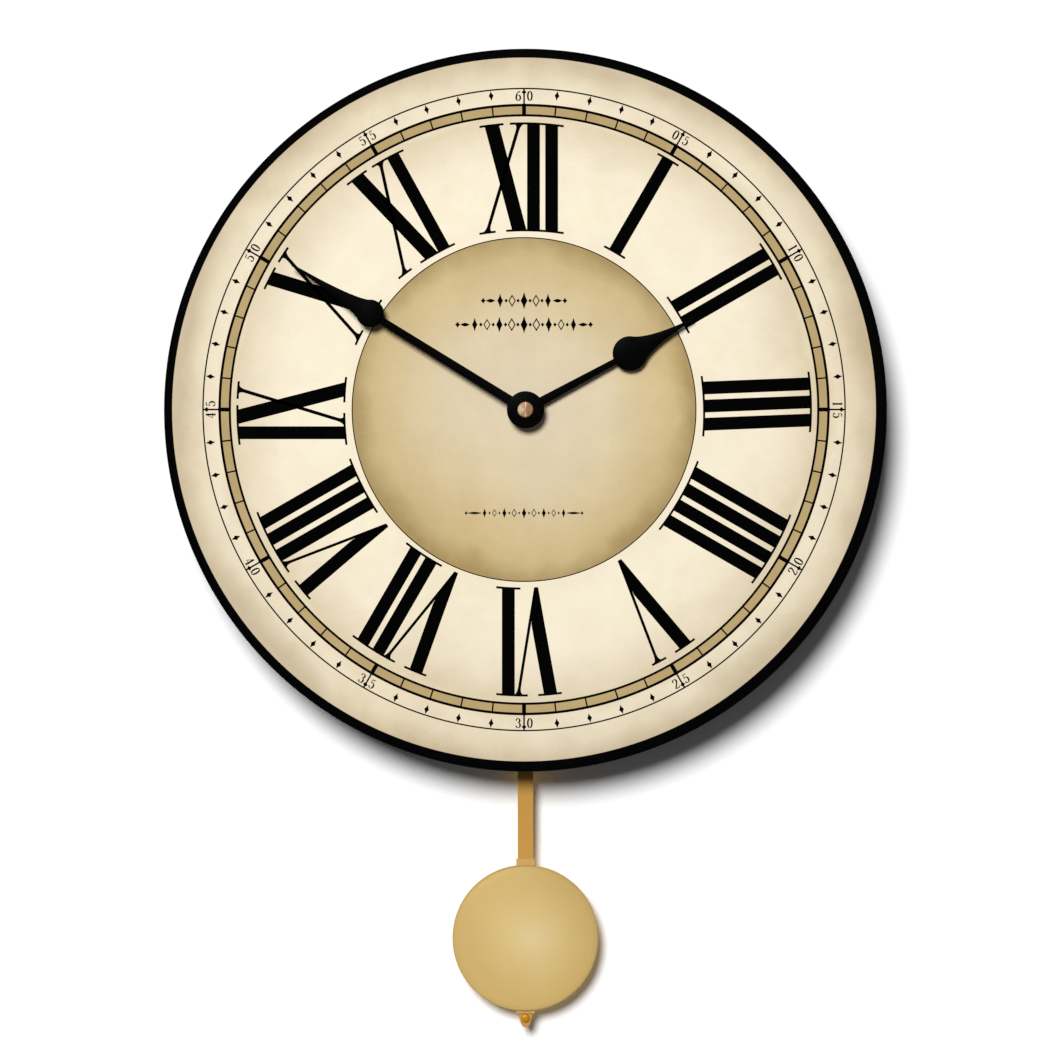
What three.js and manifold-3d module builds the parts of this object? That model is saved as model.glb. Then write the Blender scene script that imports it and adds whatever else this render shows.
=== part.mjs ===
// A 15-inch round wall clock with a battery quartz movement and a decorative driven pendulum.
// Millimetres. +Z is up, +X is to the right for someone reading the dial, and the dial faces -Y.
// The origin is the seat in the hanger that rests on the wall nail. Every piece is placed by its
// depth, which is its distance from the wall, and by x and z from the axis of the hands.
import * as THREE from "three";
import { mergeVertices } from "three/addons/utils/BufferGeometryUtils.js";
import Module from "manifold-3d";

const wasm = await Module();
wasm.setup();

// ---------------------------------------------------------------- driving dimensions
const seatGap = 0.1; // between faces that touch
const clearance = 0.3; // between a moving piece and its neighbour

const nailAboveCentre = 46; // nail seat above the axis of the hands

const discRadius = 190.5;
const discThickness = 12.7;
const discFrontRound = 2.4;
const discBackRound = 1.2;
const blackRim = 5.2; // bare painted edge outside the printed sheet, on average
const sheetLeft = 0.75; // the sheet is glued on slightly off the middle of the disc
const sheetRaised = 0.3;
const sheetThickness = 0.5;

const caseHalfWidth = 30;
const caseTop = 31;
const caseBottom = -80;
const caseDepth = 25;
const caseWall = 2;
const caseCorner = 4;
const coverThickness = 2;

const hangerHalfWidth = 13;
const hangerThickness = 1.2;
const nailSlotHalfWidth = 2.5;
const gasketThickness = 1.5;
const gasketRadius = 14;
const washerRadius = 8;
const washerThickness = 0.7;
const nutAcrossFlats = 11;
const nutThickness = 2;

const bushingRadius = 3.9;
const bushingBore = 2.9;
const pipeWall = 0.7; // wall of the hour pipe
const minuteArborRadius = 1.6;
const minuteSeatRadius = 1.3; // of the arbor's end, which carries the minute hand
const pivotRadius = 0.5;

const minuteHandLength = 144.4;
const minuteHandAngle = -58.2; // degrees clockwise from 12, as seen from the front
const minuteSpadeCentre = 96;
const minuteSpadeRadius = 7.3;
const minuteHubRadius = 9.8;
const hourHandLength = 100.6;
const hourHandAngle = 61.6;
const hourSpadeCentre = 62.4;
const hourSpadeRadius = 9.1;
const hourHubRadius = 8.6;
const handThickness = 1;

const pivotBelowCentre = 46; // pendulum pivot
const bobBelowCentre = 279.9;
const bobRadius = 38.8;
const bobDome = 6; // rise of the domed face over its rim
const bobSheet = 0.6;
const bobShoulder = 1.6; // round between the rim and the domed face
const bobWeightThickness = 1.5;
const rodWidth = 8.2;
const rodThickness = 1;
const rodTipBelowBob = 47.5; // tip of the rod, from the middle of the bob
const guideAboveBob = 3.2; // guide seen over the edge of the bob

const batteryRadius = 7.25;
const batteryLength = 50.5;
const batteryBelowCentre = 27;

// ---------------------------------------------------------------- depths, counted from the wall
const caseFrontWallBack = caseDepth - caseWall;
const hangerFrontBack = caseDepth + seatGap;
const hangerFrontFace = hangerFrontBack + hangerThickness;
const gasketBack = hangerFrontFace + seatGap;
const discBack = gasketBack + gasketThickness + seatGap;
const discFront = discBack + discThickness;
const sheetBack = discFront + seatGap;
const sheetFront = sheetBack + sheetThickness;
const washerBack = sheetFront + seatGap;
const nutBack = washerBack + washerThickness + seatGap;
const bushingFront = nutBack + nutThickness + 0.4;
const hourHandBack = bushingFront + 0.8;
const hourPipeFront = hourHandBack + handThickness + 1.4;
const minuteHandBack = hourPipeFront + 0.9;
const minuteHandFront = minuteHandBack + handThickness;

// Layers of the train, from the wall towards the dial.
const rearPlateBack = 4.5;
const trainPlateThickness = 1.1;
const rotorPinionBack = 6.4;
const intermediateWheelBack = 7;
const secondsWheelBack = 9.5;
const rotorMagnetBack = 9.4;
const rotorMagnetRadius = 3;
const thirdWheelBack = 12;
const middlePlateBack = 14.3;
const centreWheelBack = 16.6;
const motionWheelBack = 18.9;
const hourWheelBack = 20.6;
const wheelThickness = 1;

// Depths of the pendulum.
const armBack = 9.5;
const armThickness = 3;
const rodBack = armBack + armThickness + clearance;
const rodFront = rodBack + rodThickness;
const guideWall = 0.5;
const guideRoom = 0.55; // between rod and guide, where the friction spring sits behind
const guideBack = rodBack - guideRoom - guideWall - 0.35;
const guideFront = rodFront + clearance + guideWall;
const rodTip = -bobBelowCentre - rodTipBelowBob;
const rivetAboveTip = 4.9;
const rivetHeadRadius = 2.2;
const rivetShankRadius = 1;
const rivetFootRadius = 1.8;

// ---------------------------------------------------------------- helpers
// A tool that cuts right through a piece runs on 1 mm beyond both of its faces.
const degrees = Math.PI / 180;
const black = { color: 0x0a0a0a, roughness: 0.45, metalness: 0 };
const brass = { color: 0xc9a55a, roughness: 0.35, metalness: 1 };
const steel = { color: 0x9a9c9e, roughness: 0.4, metalness: 1 };
const copper = { color: 0xb5683a, roughness: 0.4, metalness: 1 };
const blackPlastic = { color: 0x1a1a1b, roughness: 0.55, metalness: 0 };
const whitePlastic = { color: 0xe9e6dc, roughness: 0.5, metalness: 0 };
const naturalPlastic = { color: 0xd8cfb4, roughness: 0.5, metalness: 0 };
const greenBoard = { color: 0x2c6b3d, roughness: 0.5, metalness: 0 };

// The triangles that have an area, on shared vertices.
function merged(geometry) {
  const bare = geometry.index ? geometry.toNonIndexed() : geometry.clone();
  bare.deleteAttribute("normal");
  bare.deleteAttribute("uv");
  return mergeVertices(bare, 1e-4);
}

function toSolid(geometry) {
  const shared = merged(geometry);
  const index = shared.index.array;
  const kept = [];
  for (let i = 0; i < index.length; i += 3) {
    const [a, b, c] = [index[i], index[i + 1], index[i + 2]];
    if (a !== b && b !== c && c !== a) kept.push(a, b, c);
  }
  const vertProperties = Float32Array.from(shared.attributes.position.array);
  const make = () => {
    const triVerts = new Uint32Array(kept);
    return new wasm.Manifold(new wasm.Mesh({ numProp: 3, vertProperties, triVerts }));
  };
  const made = make();
  if (made.volume() > 0) return made;
  for (let i = 0; i < kept.length; i += 3) [kept[i], kept[i + 1]] = [kept[i + 1], kept[i]];
  return make();
}

function toGeometry(solid) {
  const mesh = solid.getMesh();
  const position = new Float32Array(mesh.numVert * 3);
  for (let i = 0; i < mesh.numVert; i++) {
    position.set(mesh.vertProperties.subarray(i * mesh.numProp, i * mesh.numProp + 3), i * 3);
  }
  const geometry = new THREE.BufferGeometry();
  geometry.setAttribute("position", new THREE.BufferAttribute(position, 3));
  geometry.setIndex(new THREE.BufferAttribute(Uint32Array.from(mesh.triVerts), 1));
  geometry.computeVertexNormals();
  return geometry;
}

const joined = (...solids) => solids.reduce((whole, s) => whole.add(s));
const cut = (solid, ...tools) => tools.reduce((left, s) => left.subtract(s), solid);

// A flat shape drawn in x and z, from one depth to another.
function plate(shape, fromDepth, toDepth, curveSegments = 8) {
  const geometry = new THREE.ExtrudeGeometry(shape, {
    depth: toDepth - fromDepth,
    bevelEnabled: false,
    curveSegments,
  });
  geometry.rotateX(Math.PI / 2).translate(0, -fromDepth, 0);
  return toSolid(geometry);
}

// A profile of [radius, depth] points turned round an axis that runs front to back at x, z.
function turned(profile, x = 0, z = 0, segments = 24) {
  const geometry = new THREE.LatheGeometry(profile.map(([r, d]) => new THREE.Vector2(r, d)), segments);
  geometry.rotateX(Math.PI).translate(x, 0, z);
  return toSolid(geometry);
}

const rod = (radius, fromDepth, toDepth, x = 0, z = 0, segments = 16) =>
  turned([[0, fromDepth], [radius, fromDepth], [radius, toDepth], [0, toDepth]], x, z, segments);

function ring(outer, inner, fromDepth, toDepth, x = 0, z = 0, segments = 24) {
  const section = [[inner, fromDepth], [outer, fromDepth], [outer, toDepth], [inner, toDepth]];
  return turned([...section, section[0]], x, z, segments);
}

function block(x0, x1, fromDepth, toDepth, z0, z1) {
  const geometry = new THREE.BoxGeometry(x1 - x0, toDepth - fromDepth, z1 - z0);
  geometry.translate((x0 + x1) / 2, -(fromDepth + toDepth) / 2, (z0 + z1) / 2);
  return toSolid(geometry);
}

// A shape drawn in depth and z, from one x to another.
function strip(shape, x0, x1, curveSegments = 6) {
  const geometry = new THREE.ExtrudeGeometry(shape, { depth: x1 - x0, bevelEnabled: false, curveSegments });
  // drawn x is depth, drawn y is z, and the extrusion runs along x
  geometry.applyMatrix4(new THREE.Matrix4().set(0, 0, 1, x0, -1, 0, 0, 0, 0, 1, 0, 0, 0, 0, 0, 1));
  return toSolid(geometry);
}

function polygon(points) {
  return new THREE.Shape(points.map(([x, z]) => new THREE.Vector2(x, z)));
}

function roundedBox(x0, x1, z0, z1, radius) {
  const shape = new THREE.Shape();
  shape.moveTo(x0 + radius, z0).lineTo(x1 - radius, z0);
  shape.absarc(x1 - radius, z0 + radius, radius, -Math.PI / 2, 0);
  shape.absarc(x1 - radius, z1 - radius, radius, 0, Math.PI / 2);
  shape.absarc(x0 + radius, z1 - radius, radius, Math.PI / 2, Math.PI);
  shape.absarc(x0 + radius, z0 + radius, radius, Math.PI, Math.PI * 1.5);
  return shape;
}

const root = new THREE.Group();
const clock = new THREE.Group(); // everything, measured from the axis of the hands
clock.position.z = -nailAboveCentre;
root.add(clock);

function add(name, solid, look) {
  const mesh = new THREE.Mesh(toGeometry(solid), new THREE.MeshStandardMaterial(look));
  mesh.name = name;
  clock.add(mesh);
  return mesh;
}

// ---------------------------------------------------------------- gears
const addendum = 0.8; // tooth height over the pitch circle, in modules
const dedendum = 1.1;
const toothRootShare = 0.27; // half the tooth's width at its root, in tooth pitches
const toothTipShare = 0.11;

const tipRadius = (teeth, module) => (module * teeth) / 2 + addendum * module;

function gear(teeth, module, phase, fromDepth, toDepth, at) {
  const pitch = (2 * Math.PI) / teeth;
  const root = (module * teeth) / 2 - dedendum * module;
  const tip = tipRadius(teeth, module);
  const points = [];
  for (let i = 0; i < teeth; i++) {
    const middle = phase + i * pitch;
    const flank = [[root, -toothRootShare], [tip, -toothTipShare]];
    for (const [radius, share] of [...flank, [tip, toothTipShare], [root, toothRootShare]]) {
      const angle = middle + share * pitch;
      points.push([at.x + radius * Math.cos(angle), at.z + radius * Math.sin(angle)]);
    }
  }
  return plate(polygon(points), fromDepth, toDepth);
}

// The phase that puts a gap of the second gear on a tooth of the first.
function meshingPhase(firstTeeth, firstPhase, first, secondTeeth, second) {
  const towards = Math.atan2(second.z - first.z, second.x - first.x);
  const toothShare = ((towards - firstPhase) * firstTeeth) / (2 * Math.PI);
  return towards + Math.PI + ((toothShare + 0.5) * 2 * Math.PI) / secondTeeth;
}

const away = (from, distance, angle) => ({
  x: from.x + distance * Math.cos(angle * degrees),
  z: from.z + distance * Math.sin(angle * degrees),
});

const leaves = 6; // of each pinion in the going train
const cannonLeaves = 8;
const intermediateTeeth = 36;
const secondsTeeth = 30;
const thirdTeeth = 45;
const centreTeeth = 48;
const reverserTeeth = 24;
const hourTeeth = 32;
const knobTeeth = 12;

const rotorModule = 0.4;
const intermediateModule = 0.5;
const secondsModule = 0.4;
const cannonModule = 0.6;

const centre = { x: 0, z: 0 };
const intermediateDistance = (intermediateModule * (leaves + secondsTeeth)) / 2;
const thirdDistance = (secondsModule * (leaves + thirdTeeth)) / 2;
const reverserDistance = (cannonModule * (cannonLeaves + reverserTeeth)) / 2;
const intermediateAt = away(centre, intermediateDistance, 60);
const rotorAt = away(intermediateAt, (rotorModule * (leaves + intermediateTeeth)) / 2, 30);
const thirdAt = away(centre, thirdDistance, 150);
const reverserAt = away(centre, reverserDistance, 225);
const knobAt = away(reverserAt, (cannonModule * (reverserTeeth + knobTeeth)) / 2, 180);
const thirdPinionModule = (2 * thirdDistance) / (leaves + centreTeeth);
const hourModule = (2 * reverserDistance) / (cannonLeaves + hourTeeth);

const intermediatePhase = meshingPhase(leaves, 0, rotorAt, intermediateTeeth, intermediateAt);
const secondsPhase = meshingPhase(leaves, 0, intermediateAt, secondsTeeth, centre);
const thirdPhase = meshingPhase(leaves, 0, centre, thirdTeeth, thirdAt);
const centrePhase = meshingPhase(leaves, 0, thirdAt, centreTeeth, centre);
const reverserPhase = meshingPhase(cannonLeaves, 0, centre, reverserTeeth, reverserAt);
const hourPhase = meshingPhase(cannonLeaves, 0, reverserAt, hourTeeth, centre);
const knobPhase = meshingPhase(reverserTeeth, reverserPhase, reverserAt, knobTeeth, knobAt);

const arborBack = rearPlateBack - 0.5;
const arborMiddle = middlePlateBack + 0.7;
const pinionMargin = 0.6; // a pinion runs on past the wheel it drives
const sunk = 0.5; // and starts inside its own wheel

const wheel = (teeth, module, phase, back, at) => gear(teeth, module, phase, back, back + wheelThickness, at);
const pinion = (teeth, module, ownBack, drivenBack, at, margin = pinionMargin) =>
  gear(teeth, module, 0, ownBack + sunk, drivenBack + wheelThickness + margin, at);

function addTrain() {
  add(
    "rotor_pinion",
    joined(
      gear(leaves, rotorModule, 0, rotorPinionBack, rotorMagnetBack - seatGap - 0.4, rotorAt),
      rod(pivotRadius, arborBack, arborMiddle, rotorAt.x, rotorAt.z, 12),
    ),
    naturalPlastic,
  );
  const magnetBore = pivotRadius + clearance;
  const magnetFront = rotorMagnetBack + 2.8;
  const rotorMagnet = ring(rotorMagnetRadius, magnetBore, rotorMagnetBack, magnetFront, rotorAt.x, rotorAt.z, 20);
  add("rotor_magnet", rotorMagnet, steel);
  add(
    "intermediate_wheel",
    joined(
      wheel(intermediateTeeth, rotorModule, intermediatePhase, intermediateWheelBack, intermediateAt),
      pinion(leaves, intermediateModule, intermediateWheelBack, secondsWheelBack, intermediateAt),
      rod(pivotRadius, arborBack, arborMiddle, intermediateAt.x, intermediateAt.z, 12),
    ),
    whitePlastic,
  );
  add(
    "seconds_wheel",
    joined(
      wheel(secondsTeeth, intermediateModule, secondsPhase, secondsWheelBack, centre),
      pinion(leaves, secondsModule, secondsWheelBack, thirdWheelBack, centre),
      rod(pivotRadius, arborBack, arborMiddle, 0, 0, 12),
    ),
    whitePlastic,
  );
  const thirdArborFront = caseFrontWallBack - 2.5;
  add(
    "third_wheel",
    joined(
      wheel(thirdTeeth, secondsModule, thirdPhase, thirdWheelBack, thirdAt),
      pinion(leaves, thirdPinionModule, thirdWheelBack, centreWheelBack, thirdAt),
      rod(pivotRadius, arborBack, thirdArborFront, thirdAt.x, thirdAt.z, 12),
    ),
    whitePlastic,
  );
  const clutchBore = minuteArborRadius + clearance;
  const clutchWall = 1.3;
  add(
    "centre_wheel",
    cut(
      joined(
        wheel(centreTeeth, thirdPinionModule, centrePhase, centreWheelBack, centre),
        rod(clutchBore + clutchWall, centreWheelBack, motionWheelBack - clearance - 0.5, 0, 0, 20),
      ),
      rod(clutchBore, centreWheelBack - 1, motionWheelBack, 0, 0, 16),
    ),
    brass,
  );
}

function addMotionWork() {
  add(
    "minute_arbor",
    joined(
      rod(minuteArborRadius, middlePlateBack + trainPlateThickness + clearance, minuteHandBack - seatGap),
      rod(minuteSeatRadius, minuteHandBack - 1, minuteHandFront + 1.4),
      gear(cannonLeaves, cannonModule, 0, motionWheelBack - 0.3, motionWheelBack + wheelThickness + 0.3,
        centre),
    ),
    steel,
  );
  add(
    "reverser_wheel",
    cut(
      joined(
        wheel(reverserTeeth, cannonModule, reverserPhase, motionWheelBack, reverserAt),
        pinion(cannonLeaves, hourModule, motionWheelBack, hourWheelBack, reverserAt, 0.4),
      ),
      rod(postRadius + clearance, motionWheelBack - 1, caseFrontWallBack, reverserAt.x, reverserAt.z, 12),
    ),
    whitePlastic,
  );
  const pipeBore = minuteArborRadius + clearance;
  add(
    "hour_wheel",
    cut(
      joined(
        wheel(hourTeeth, hourModule, hourPhase, hourWheelBack, centre),
        rod(pipeBore + pipeWall, hourWheelBack, hourPipeFront, 0, 0, 20),
      ),
      rod(pipeBore, hourWheelBack - 1, hourPipeFront + 1, 0, 0, 16),
    ),
    naturalPlastic,
  );
  addSettingKnob();
}

const postRadius = 0.6;
const knobRadius = 6.5;
const knobBack = 0.7;
const knobThickness = 2.8;

function addSettingKnob() {
  const grips = 18;
  const head = new THREE.Shape();
  for (let i = 0; i < grips * 2; i++) {
    const radius = i % 2 ? knobRadius : knobRadius - 0.4;
    const angle = (i * Math.PI) / grips;
    const [x, z] = [knobAt.x + radius * Math.cos(angle), knobAt.z + radius * Math.sin(angle)];
    if (i) head.lineTo(x, z);
    else head.moveTo(x, z);
  }
  add(
    "setting_knob",
    joined(
      plate(head, knobBack, knobBack + knobThickness),
      rod(1.2, knobBack + 1, motionWheelBack + wheelThickness + 0.5, knobAt.x, knobAt.z),
      rod(pivotRadius, motionWheelBack, caseFrontWallBack + 0.8, knobAt.x, knobAt.z, 12),
      wheel(knobTeeth, cannonModule, knobPhase, motionWheelBack, knobAt),
    ),
    whitePlastic,
  );
}

function trainPlate(holes, shape, back) {
  const drills = holes.map(({ x, z, r }) => rod(r, back - 1, back + trainPlateThickness + 1, x, z, 12));
  return cut(plate(shape, back, back + trainPlateThickness, 3), ...drills);
}

function addTrainPlates() {
  const pivotHole = (at) => ({ ...at, r: pivotRadius + clearance });
  const reach = caseHalfWidth - caseWall - seatGap; // the plates lie between the case's side walls
  const outline = roundedBox(-reach, reach, -5, 17, 1);
  add(
    "rear_train_plate",
    trainPlate([rotorAt, intermediateAt, centre, thirdAt].map(pivotHole), outline, rearPlateBack),
    blackPlastic,
  );
  const pinionHole = tipRadius(leaves, thirdPinionModule) + clearance;
  add(
    "middle_train_plate",
    trainPlate(
      [...[rotorAt, intermediateAt, centre].map(pivotHole), { ...thirdAt, r: pinionHole }],
      outline,
      middlePlateBack,
    ),
    blackPlastic,
  );
}

// ---------------------------------------------------------------- motor and electronics
const coilHeight = 22; // of the coil's axis above the hands
const coilHalfLength = 10;
const statorBack = 10.3;
const statorThickness = 1;
const coreBack = statorBack + statorThickness + seatGap;
const coreThickness = 1;
const driveBoardBack = 19.5;

function addMotor() {
  const gap = rotorMagnetRadius + 0.6;
  const { x, z } = rotorAt;
  const [barBottom, barTop, legTop] = [15.2, 17.9, 25];
  const outer = polygon([[-19, barBottom], [x - 4.9, barBottom], [x - 4.9, z - 4.6], [x + 5.4, z - 4.6],
    [x + 5.4, barBottom], [20, barBottom], [20, legTop], [15.5, legTop], [15.5, barTop], [-14.5, barTop],
    [-14.5, legTop], [-19, legTop]]);
  add(
    "stator_plate",
    cut(
      plate(outer, statorBack, statorBack + statorThickness),
      rod(gap, statorBack - 1, statorBack + 2, x, z, 24),
    ),
    steel,
  );
  add(
    "coil_core",
    block(-19, 20, coreBack, coreBack + coreThickness, coilHeight - 1.2, coilHeight + 1.2),
    steel,
  );
  addCoil("motor_coil", coilHeight, coreBack + coreThickness / 2);
}

// The wound bobbin on the motor's core: a square tube with round flanges, and its winding.
function addCoil(name, height, depth) {
  const flange = 3.6;
  const wound = 3.1;
  const across = (radius, x0, x1) => {
    const geometry = new THREE.CylinderGeometry(radius, radius, x1 - x0, 20);
    geometry.rotateZ(Math.PI / 2).translate((x0 + x1) / 2, -depth, height);
    return toSolid(geometry);
  };
  const tunnel = block(-40, 40, depth - 0.5 - clearance, depth + 0.5 + clearance, height - 1.5, height + 1.5);
  const bobbin = joined(
    across(2.2, -coilHalfLength, coilHalfLength),
    across(flange, -coilHalfLength, -coilHalfLength + 0.8),
    across(flange, coilHalfLength - 0.8, coilHalfLength),
  );
  add(name + "_bobbin", cut(bobbin, tunnel), whitePlastic);
  const ends = coilHalfLength - 0.8 - seatGap;
  add(name + "_winding", cut(across(wound, -ends, ends), across(2.2 + seatGap, -20, 20)), copper);
}

const boardCentre = { x: 19.8, z: -5 };
const boardThickness = 1;
const boardBack = middlePlateBack - seatGap - boardThickness;

function addCircuitBoard() {
  const [left, right] = [boardCentre.x - 7.4, boardCentre.x + 7.4];
  const [bottom, top] = [boardCentre.z - 9.5, boardCentre.z + 9.5];
  const { x, z } = boardCentre;
  add(
    "circuit_board",
    block(left, right, boardBack, boardBack + boardThickness, bottom, top),
    greenBoard,
  );
  const can = new THREE.CylinderGeometry(1.5, 1.5, 8, 16);
  can.rotateX(Math.PI / 2).translate(x - 4, -(boardBack - seatGap - 1.5), z);
  add("quartz_crystal", toSolid(can), steel);
  const chipFace = boardBack - seatGap;
  add(
    "timing_chip",
    turned([[0, chipFace - 1.3], [1.6, chipFace - 1.2], [2.8, chipFace - 0.6], [3.1, chipFace],
      [0, chipFace]], x + 3, z - 2, 16),
    black,
  );
}

// ---------------------------------------------------------------- battery
const batteryDepth = 9.2; // of the cell's axis
const trayWall = 1;
const bayHalfHeight = batteryRadius + 0.65;
const contactBack = 3.4;
const contactFront = 14.9;
const contactHalfHeight = 5.2;
const contactThickness = 0.4;

function addBattery() {
  const z = -batteryBelowCentre;
  const nub = 1;
  const left = -batteryLength / 2 + 0.7;
  const right = left + batteryLength;
  const profile = [[0, left], [6.4, left], [batteryRadius, left + 0.5], [batteryRadius, right - nub - 0.6],
    [6.6, right - nub], [2.75, right - nub], [2.75, right], [0, right]];
  const cell = new THREE.LatheGeometry(profile.map(([r, x]) => new THREE.Vector2(r, x)), 32);
  cell.rotateZ(-Math.PI / 2).translate(0, -batteryDepth, z);
  add("battery_cell", toSolid(cell), { color: 0x3c4248, roughness: 0.4, metalness: 0.3 });

  const innerRadius = bayHalfHeight;
  const outerRadius = innerRadius + trayWall;
  const back = coverThickness + seatGap + 0.2;
  const trough = new THREE.Shape();
  trough.moveTo(back, z - outerRadius).lineTo(batteryDepth, z - outerRadius);
  trough.absarc(batteryDepth, z, outerRadius, -Math.PI / 2, Math.PI / 2);
  trough.lineTo(back, z + outerRadius).lineTo(back, z + innerRadius).lineTo(batteryDepth, z + innerRadius);
  trough.absarc(batteryDepth, z, innerRadius, Math.PI / 2, -Math.PI / 2, true);
  trough.lineTo(back, z - innerRadius);
  const trayHalf = caseHalfWidth - caseWall - clearance;
  add("battery_tray", strip(trough, -trayHalf, trayHalf, 10), blackPlastic);

  const tabX = right + seatGap;
  add(
    "positive_contact",
    joined(
      contactPlate(tabX, tabX + contactThickness, contactBack, z),
      contactPlate(tabX, tabX + 1.4, contactFront - contactThickness, z),
    ),
    steel,
  );
  addContactSpring(left, z);
}

const contactPlate = (x0, x1, back, z) =>
  block(x0, x1, back, contactFront, z - contactHalfHeight, z + contactHalfHeight);

// A tapering wire coil that presses on the cell's flat end.
function addContactSpring(cellEnd, z) {
  const turns = 2.5;
  const wire = 0.35;
  const plateX = cellEnd - 2.9;
  const springLength = 2.1;
  const steps = Math.round(turns * 12);
  const points = [];
  for (let i = 0; i <= steps; i++) {
    const share = i / steps;
    const angle = share * turns * 2 * Math.PI;
    const radius = 4.6 - 2.2 * share;
    const x = plateX + contactThickness + wire + share * (springLength - wire);
    points.push(new THREE.Vector3(x, -batteryDepth + radius * Math.sin(angle), z + radius * Math.cos(angle)));
  }
  const section = new THREE.Shape();
  for (let i = 0; i < 6; i++) {
    const [u, v] = [wire * Math.cos((i * Math.PI) / 3), wire * Math.sin((i * Math.PI) / 3)];
    if (i) section.lineTo(u, v);
    else section.moveTo(u, v);
  }
  const coil = new THREE.ExtrudeGeometry(section, {
    extrudePath: new THREE.CatmullRomCurve3(points),
    steps,
    bevelEnabled: false,
  });
  const base = contactPlate(plateX, plateX + contactThickness + wire * 0.6, contactBack, z);
  add("negative_spring", joined(base, toSolid(coil)), steel);
}

// ---------------------------------------------------------------- movement case
const pinRadius = 0.8;
const pinBore = pinRadius + clearance;
const slotHalfWidth = 13; // room for the swinging arm in the bottom of the case

function addCase() {
  const outline = roundedBox(-caseHalfWidth, caseHalfWidth, caseBottom, caseTop, caseCorner);
  const pocket = roundedBox(-caseHalfWidth + caseWall, caseHalfWidth - caseWall, caseBottom + caseWall,
    caseTop - caseWall, caseCorner - caseWall);
  const shellBack = coverThickness + seatGap;
  const inside = caseFrontWallBack;
  const pivotZ = -pivotBelowCentre;
  const post = (back, x, z) => rod(1.4, back, inside + 0.5, x, z, 12);
  const shell = joined(
    cut(plate(outline, shellBack, caseDepth, 4), plate(pocket, shellBack - 1, inside, 3)),
    rod(postRadius, motionWheelBack - 0.3, inside + 0.5, reverserAt.x, reverserAt.z, 12),
    post(inside - 4, thirdAt.x, thirdAt.z),
    rod(3, inside - 4.6, inside + 0.5, 0, pivotZ, 20),
    post(coreBack + coreThickness + seatGap, -17, coilHeight),
    post(coreBack + coreThickness + seatGap, 17.8, coilHeight),
    post(driveBoardBack + boardThickness + seatGap, 22.5, -58),
    post(driveBoardBack + boardThickness + seatGap, 22.5, -72),
  );
  const pivotHole = pivotRadius + clearance;
  add(
    "case_front",
    cut(
      shell,
      rod(bushingRadius + seatGap, inside - 1, caseDepth + 1, 0, 0, 24),
      rod(pivotHole, inside - 5, inside, thirdAt.x, thirdAt.z, 12),
      rod(pivotHole, inside - 0.5, inside + 1.1, knobAt.x, knobAt.z, 12),
      rod(pinBore, inside - 6, inside, 0, pivotZ, 16),
      block(-slotHalfWidth, slotHalfWidth, 0, 17, caseBottom - 1, caseBottom + caseWall + 0.5),
    ),
    blackPlastic,
  );

  const bayZ = -batteryBelowCentre;
  const bayHalfLength = caseHalfWidth - caseWall - 0.6;
  const snapHeight = 2.2;
  const snapLength = 8;
  const snapThickness = 1.2;
  const snapX = caseHalfWidth - caseWall - clearance - snapThickness / 2;
  const snap = (x, z) => block(x - snapThickness / 2, x + snapThickness / 2, coverThickness - 0.5,
    coverThickness + snapHeight, z, z + snapLength);
  const cover = joined(
    plate(outline, 0, coverThickness, 4),
    rod(3, coverThickness - 0.5, 7.4, 0, pivotZ, 20),
    ...[8, -66].flatMap((z) => [snap(-snapX, z), snap(snapX, z)]),
  );
  add(
    "rear_cover",
    cut(
      cover,
      plate(roundedBox(-bayHalfLength, bayHalfLength, bayZ - bayHalfHeight, bayZ + bayHalfHeight, 2), -1,
        coverThickness + 1, 3),
      rod(knobRadius + 0.8, -1, coverThickness + 1, knobAt.x, knobAt.z, 32),
      rod(pinBore, coverThickness + 0.8, 9, 0, pivotZ, 16),
    ),
    blackPlastic,
  );
  add("pivot_pin", rod(pinRadius, coverThickness + 1.1, inside - clearance, 0, pivotZ, 16), steel);
}

// ---------------------------------------------------------------- centre fixing and hanger
function addCentreFixing() {
  const flangeBack = hourWheelBack + wheelThickness + clearance;
  add(
    "threaded_bushing",
    cut(
      joined(
        rod(bushingRadius, flangeBack, bushingFront, 0, 0, 24),
        rod(bushingRadius + 1.8, flangeBack, caseFrontWallBack - seatGap, 0, 0, 24),
      ),
      rod(bushingBore, flangeBack - 1, bushingFront + 1, 0, 0, 24),
    ),
    brass,
  );
  const hole = bushingRadius + clearance;
  add("rubber_gasket", ring(gasketRadius, hole, gasketBack, gasketBack + gasketThickness, 0, 0, 32), black);
  add("dial_washer", ring(washerRadius, hole, washerBack, washerBack + washerThickness, 0, 0, 32), brass);
  const corner = nutAcrossFlats / Math.sqrt(3);
  const hexagon = polygon([0, 1, 2, 3, 4, 5].map((i) => {
    const angle = (i * Math.PI) / 3;
    return [corner * Math.cos(angle), corner * Math.sin(angle)];
  }));
  add(
    "hex_nut",
    cut(plate(hexagon, nutBack, nutBack + nutThickness), rod(hole - 0.2, nutBack - 1, nutBack + 4, 0, 0, 24)),
    brass,
  );
}

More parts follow.
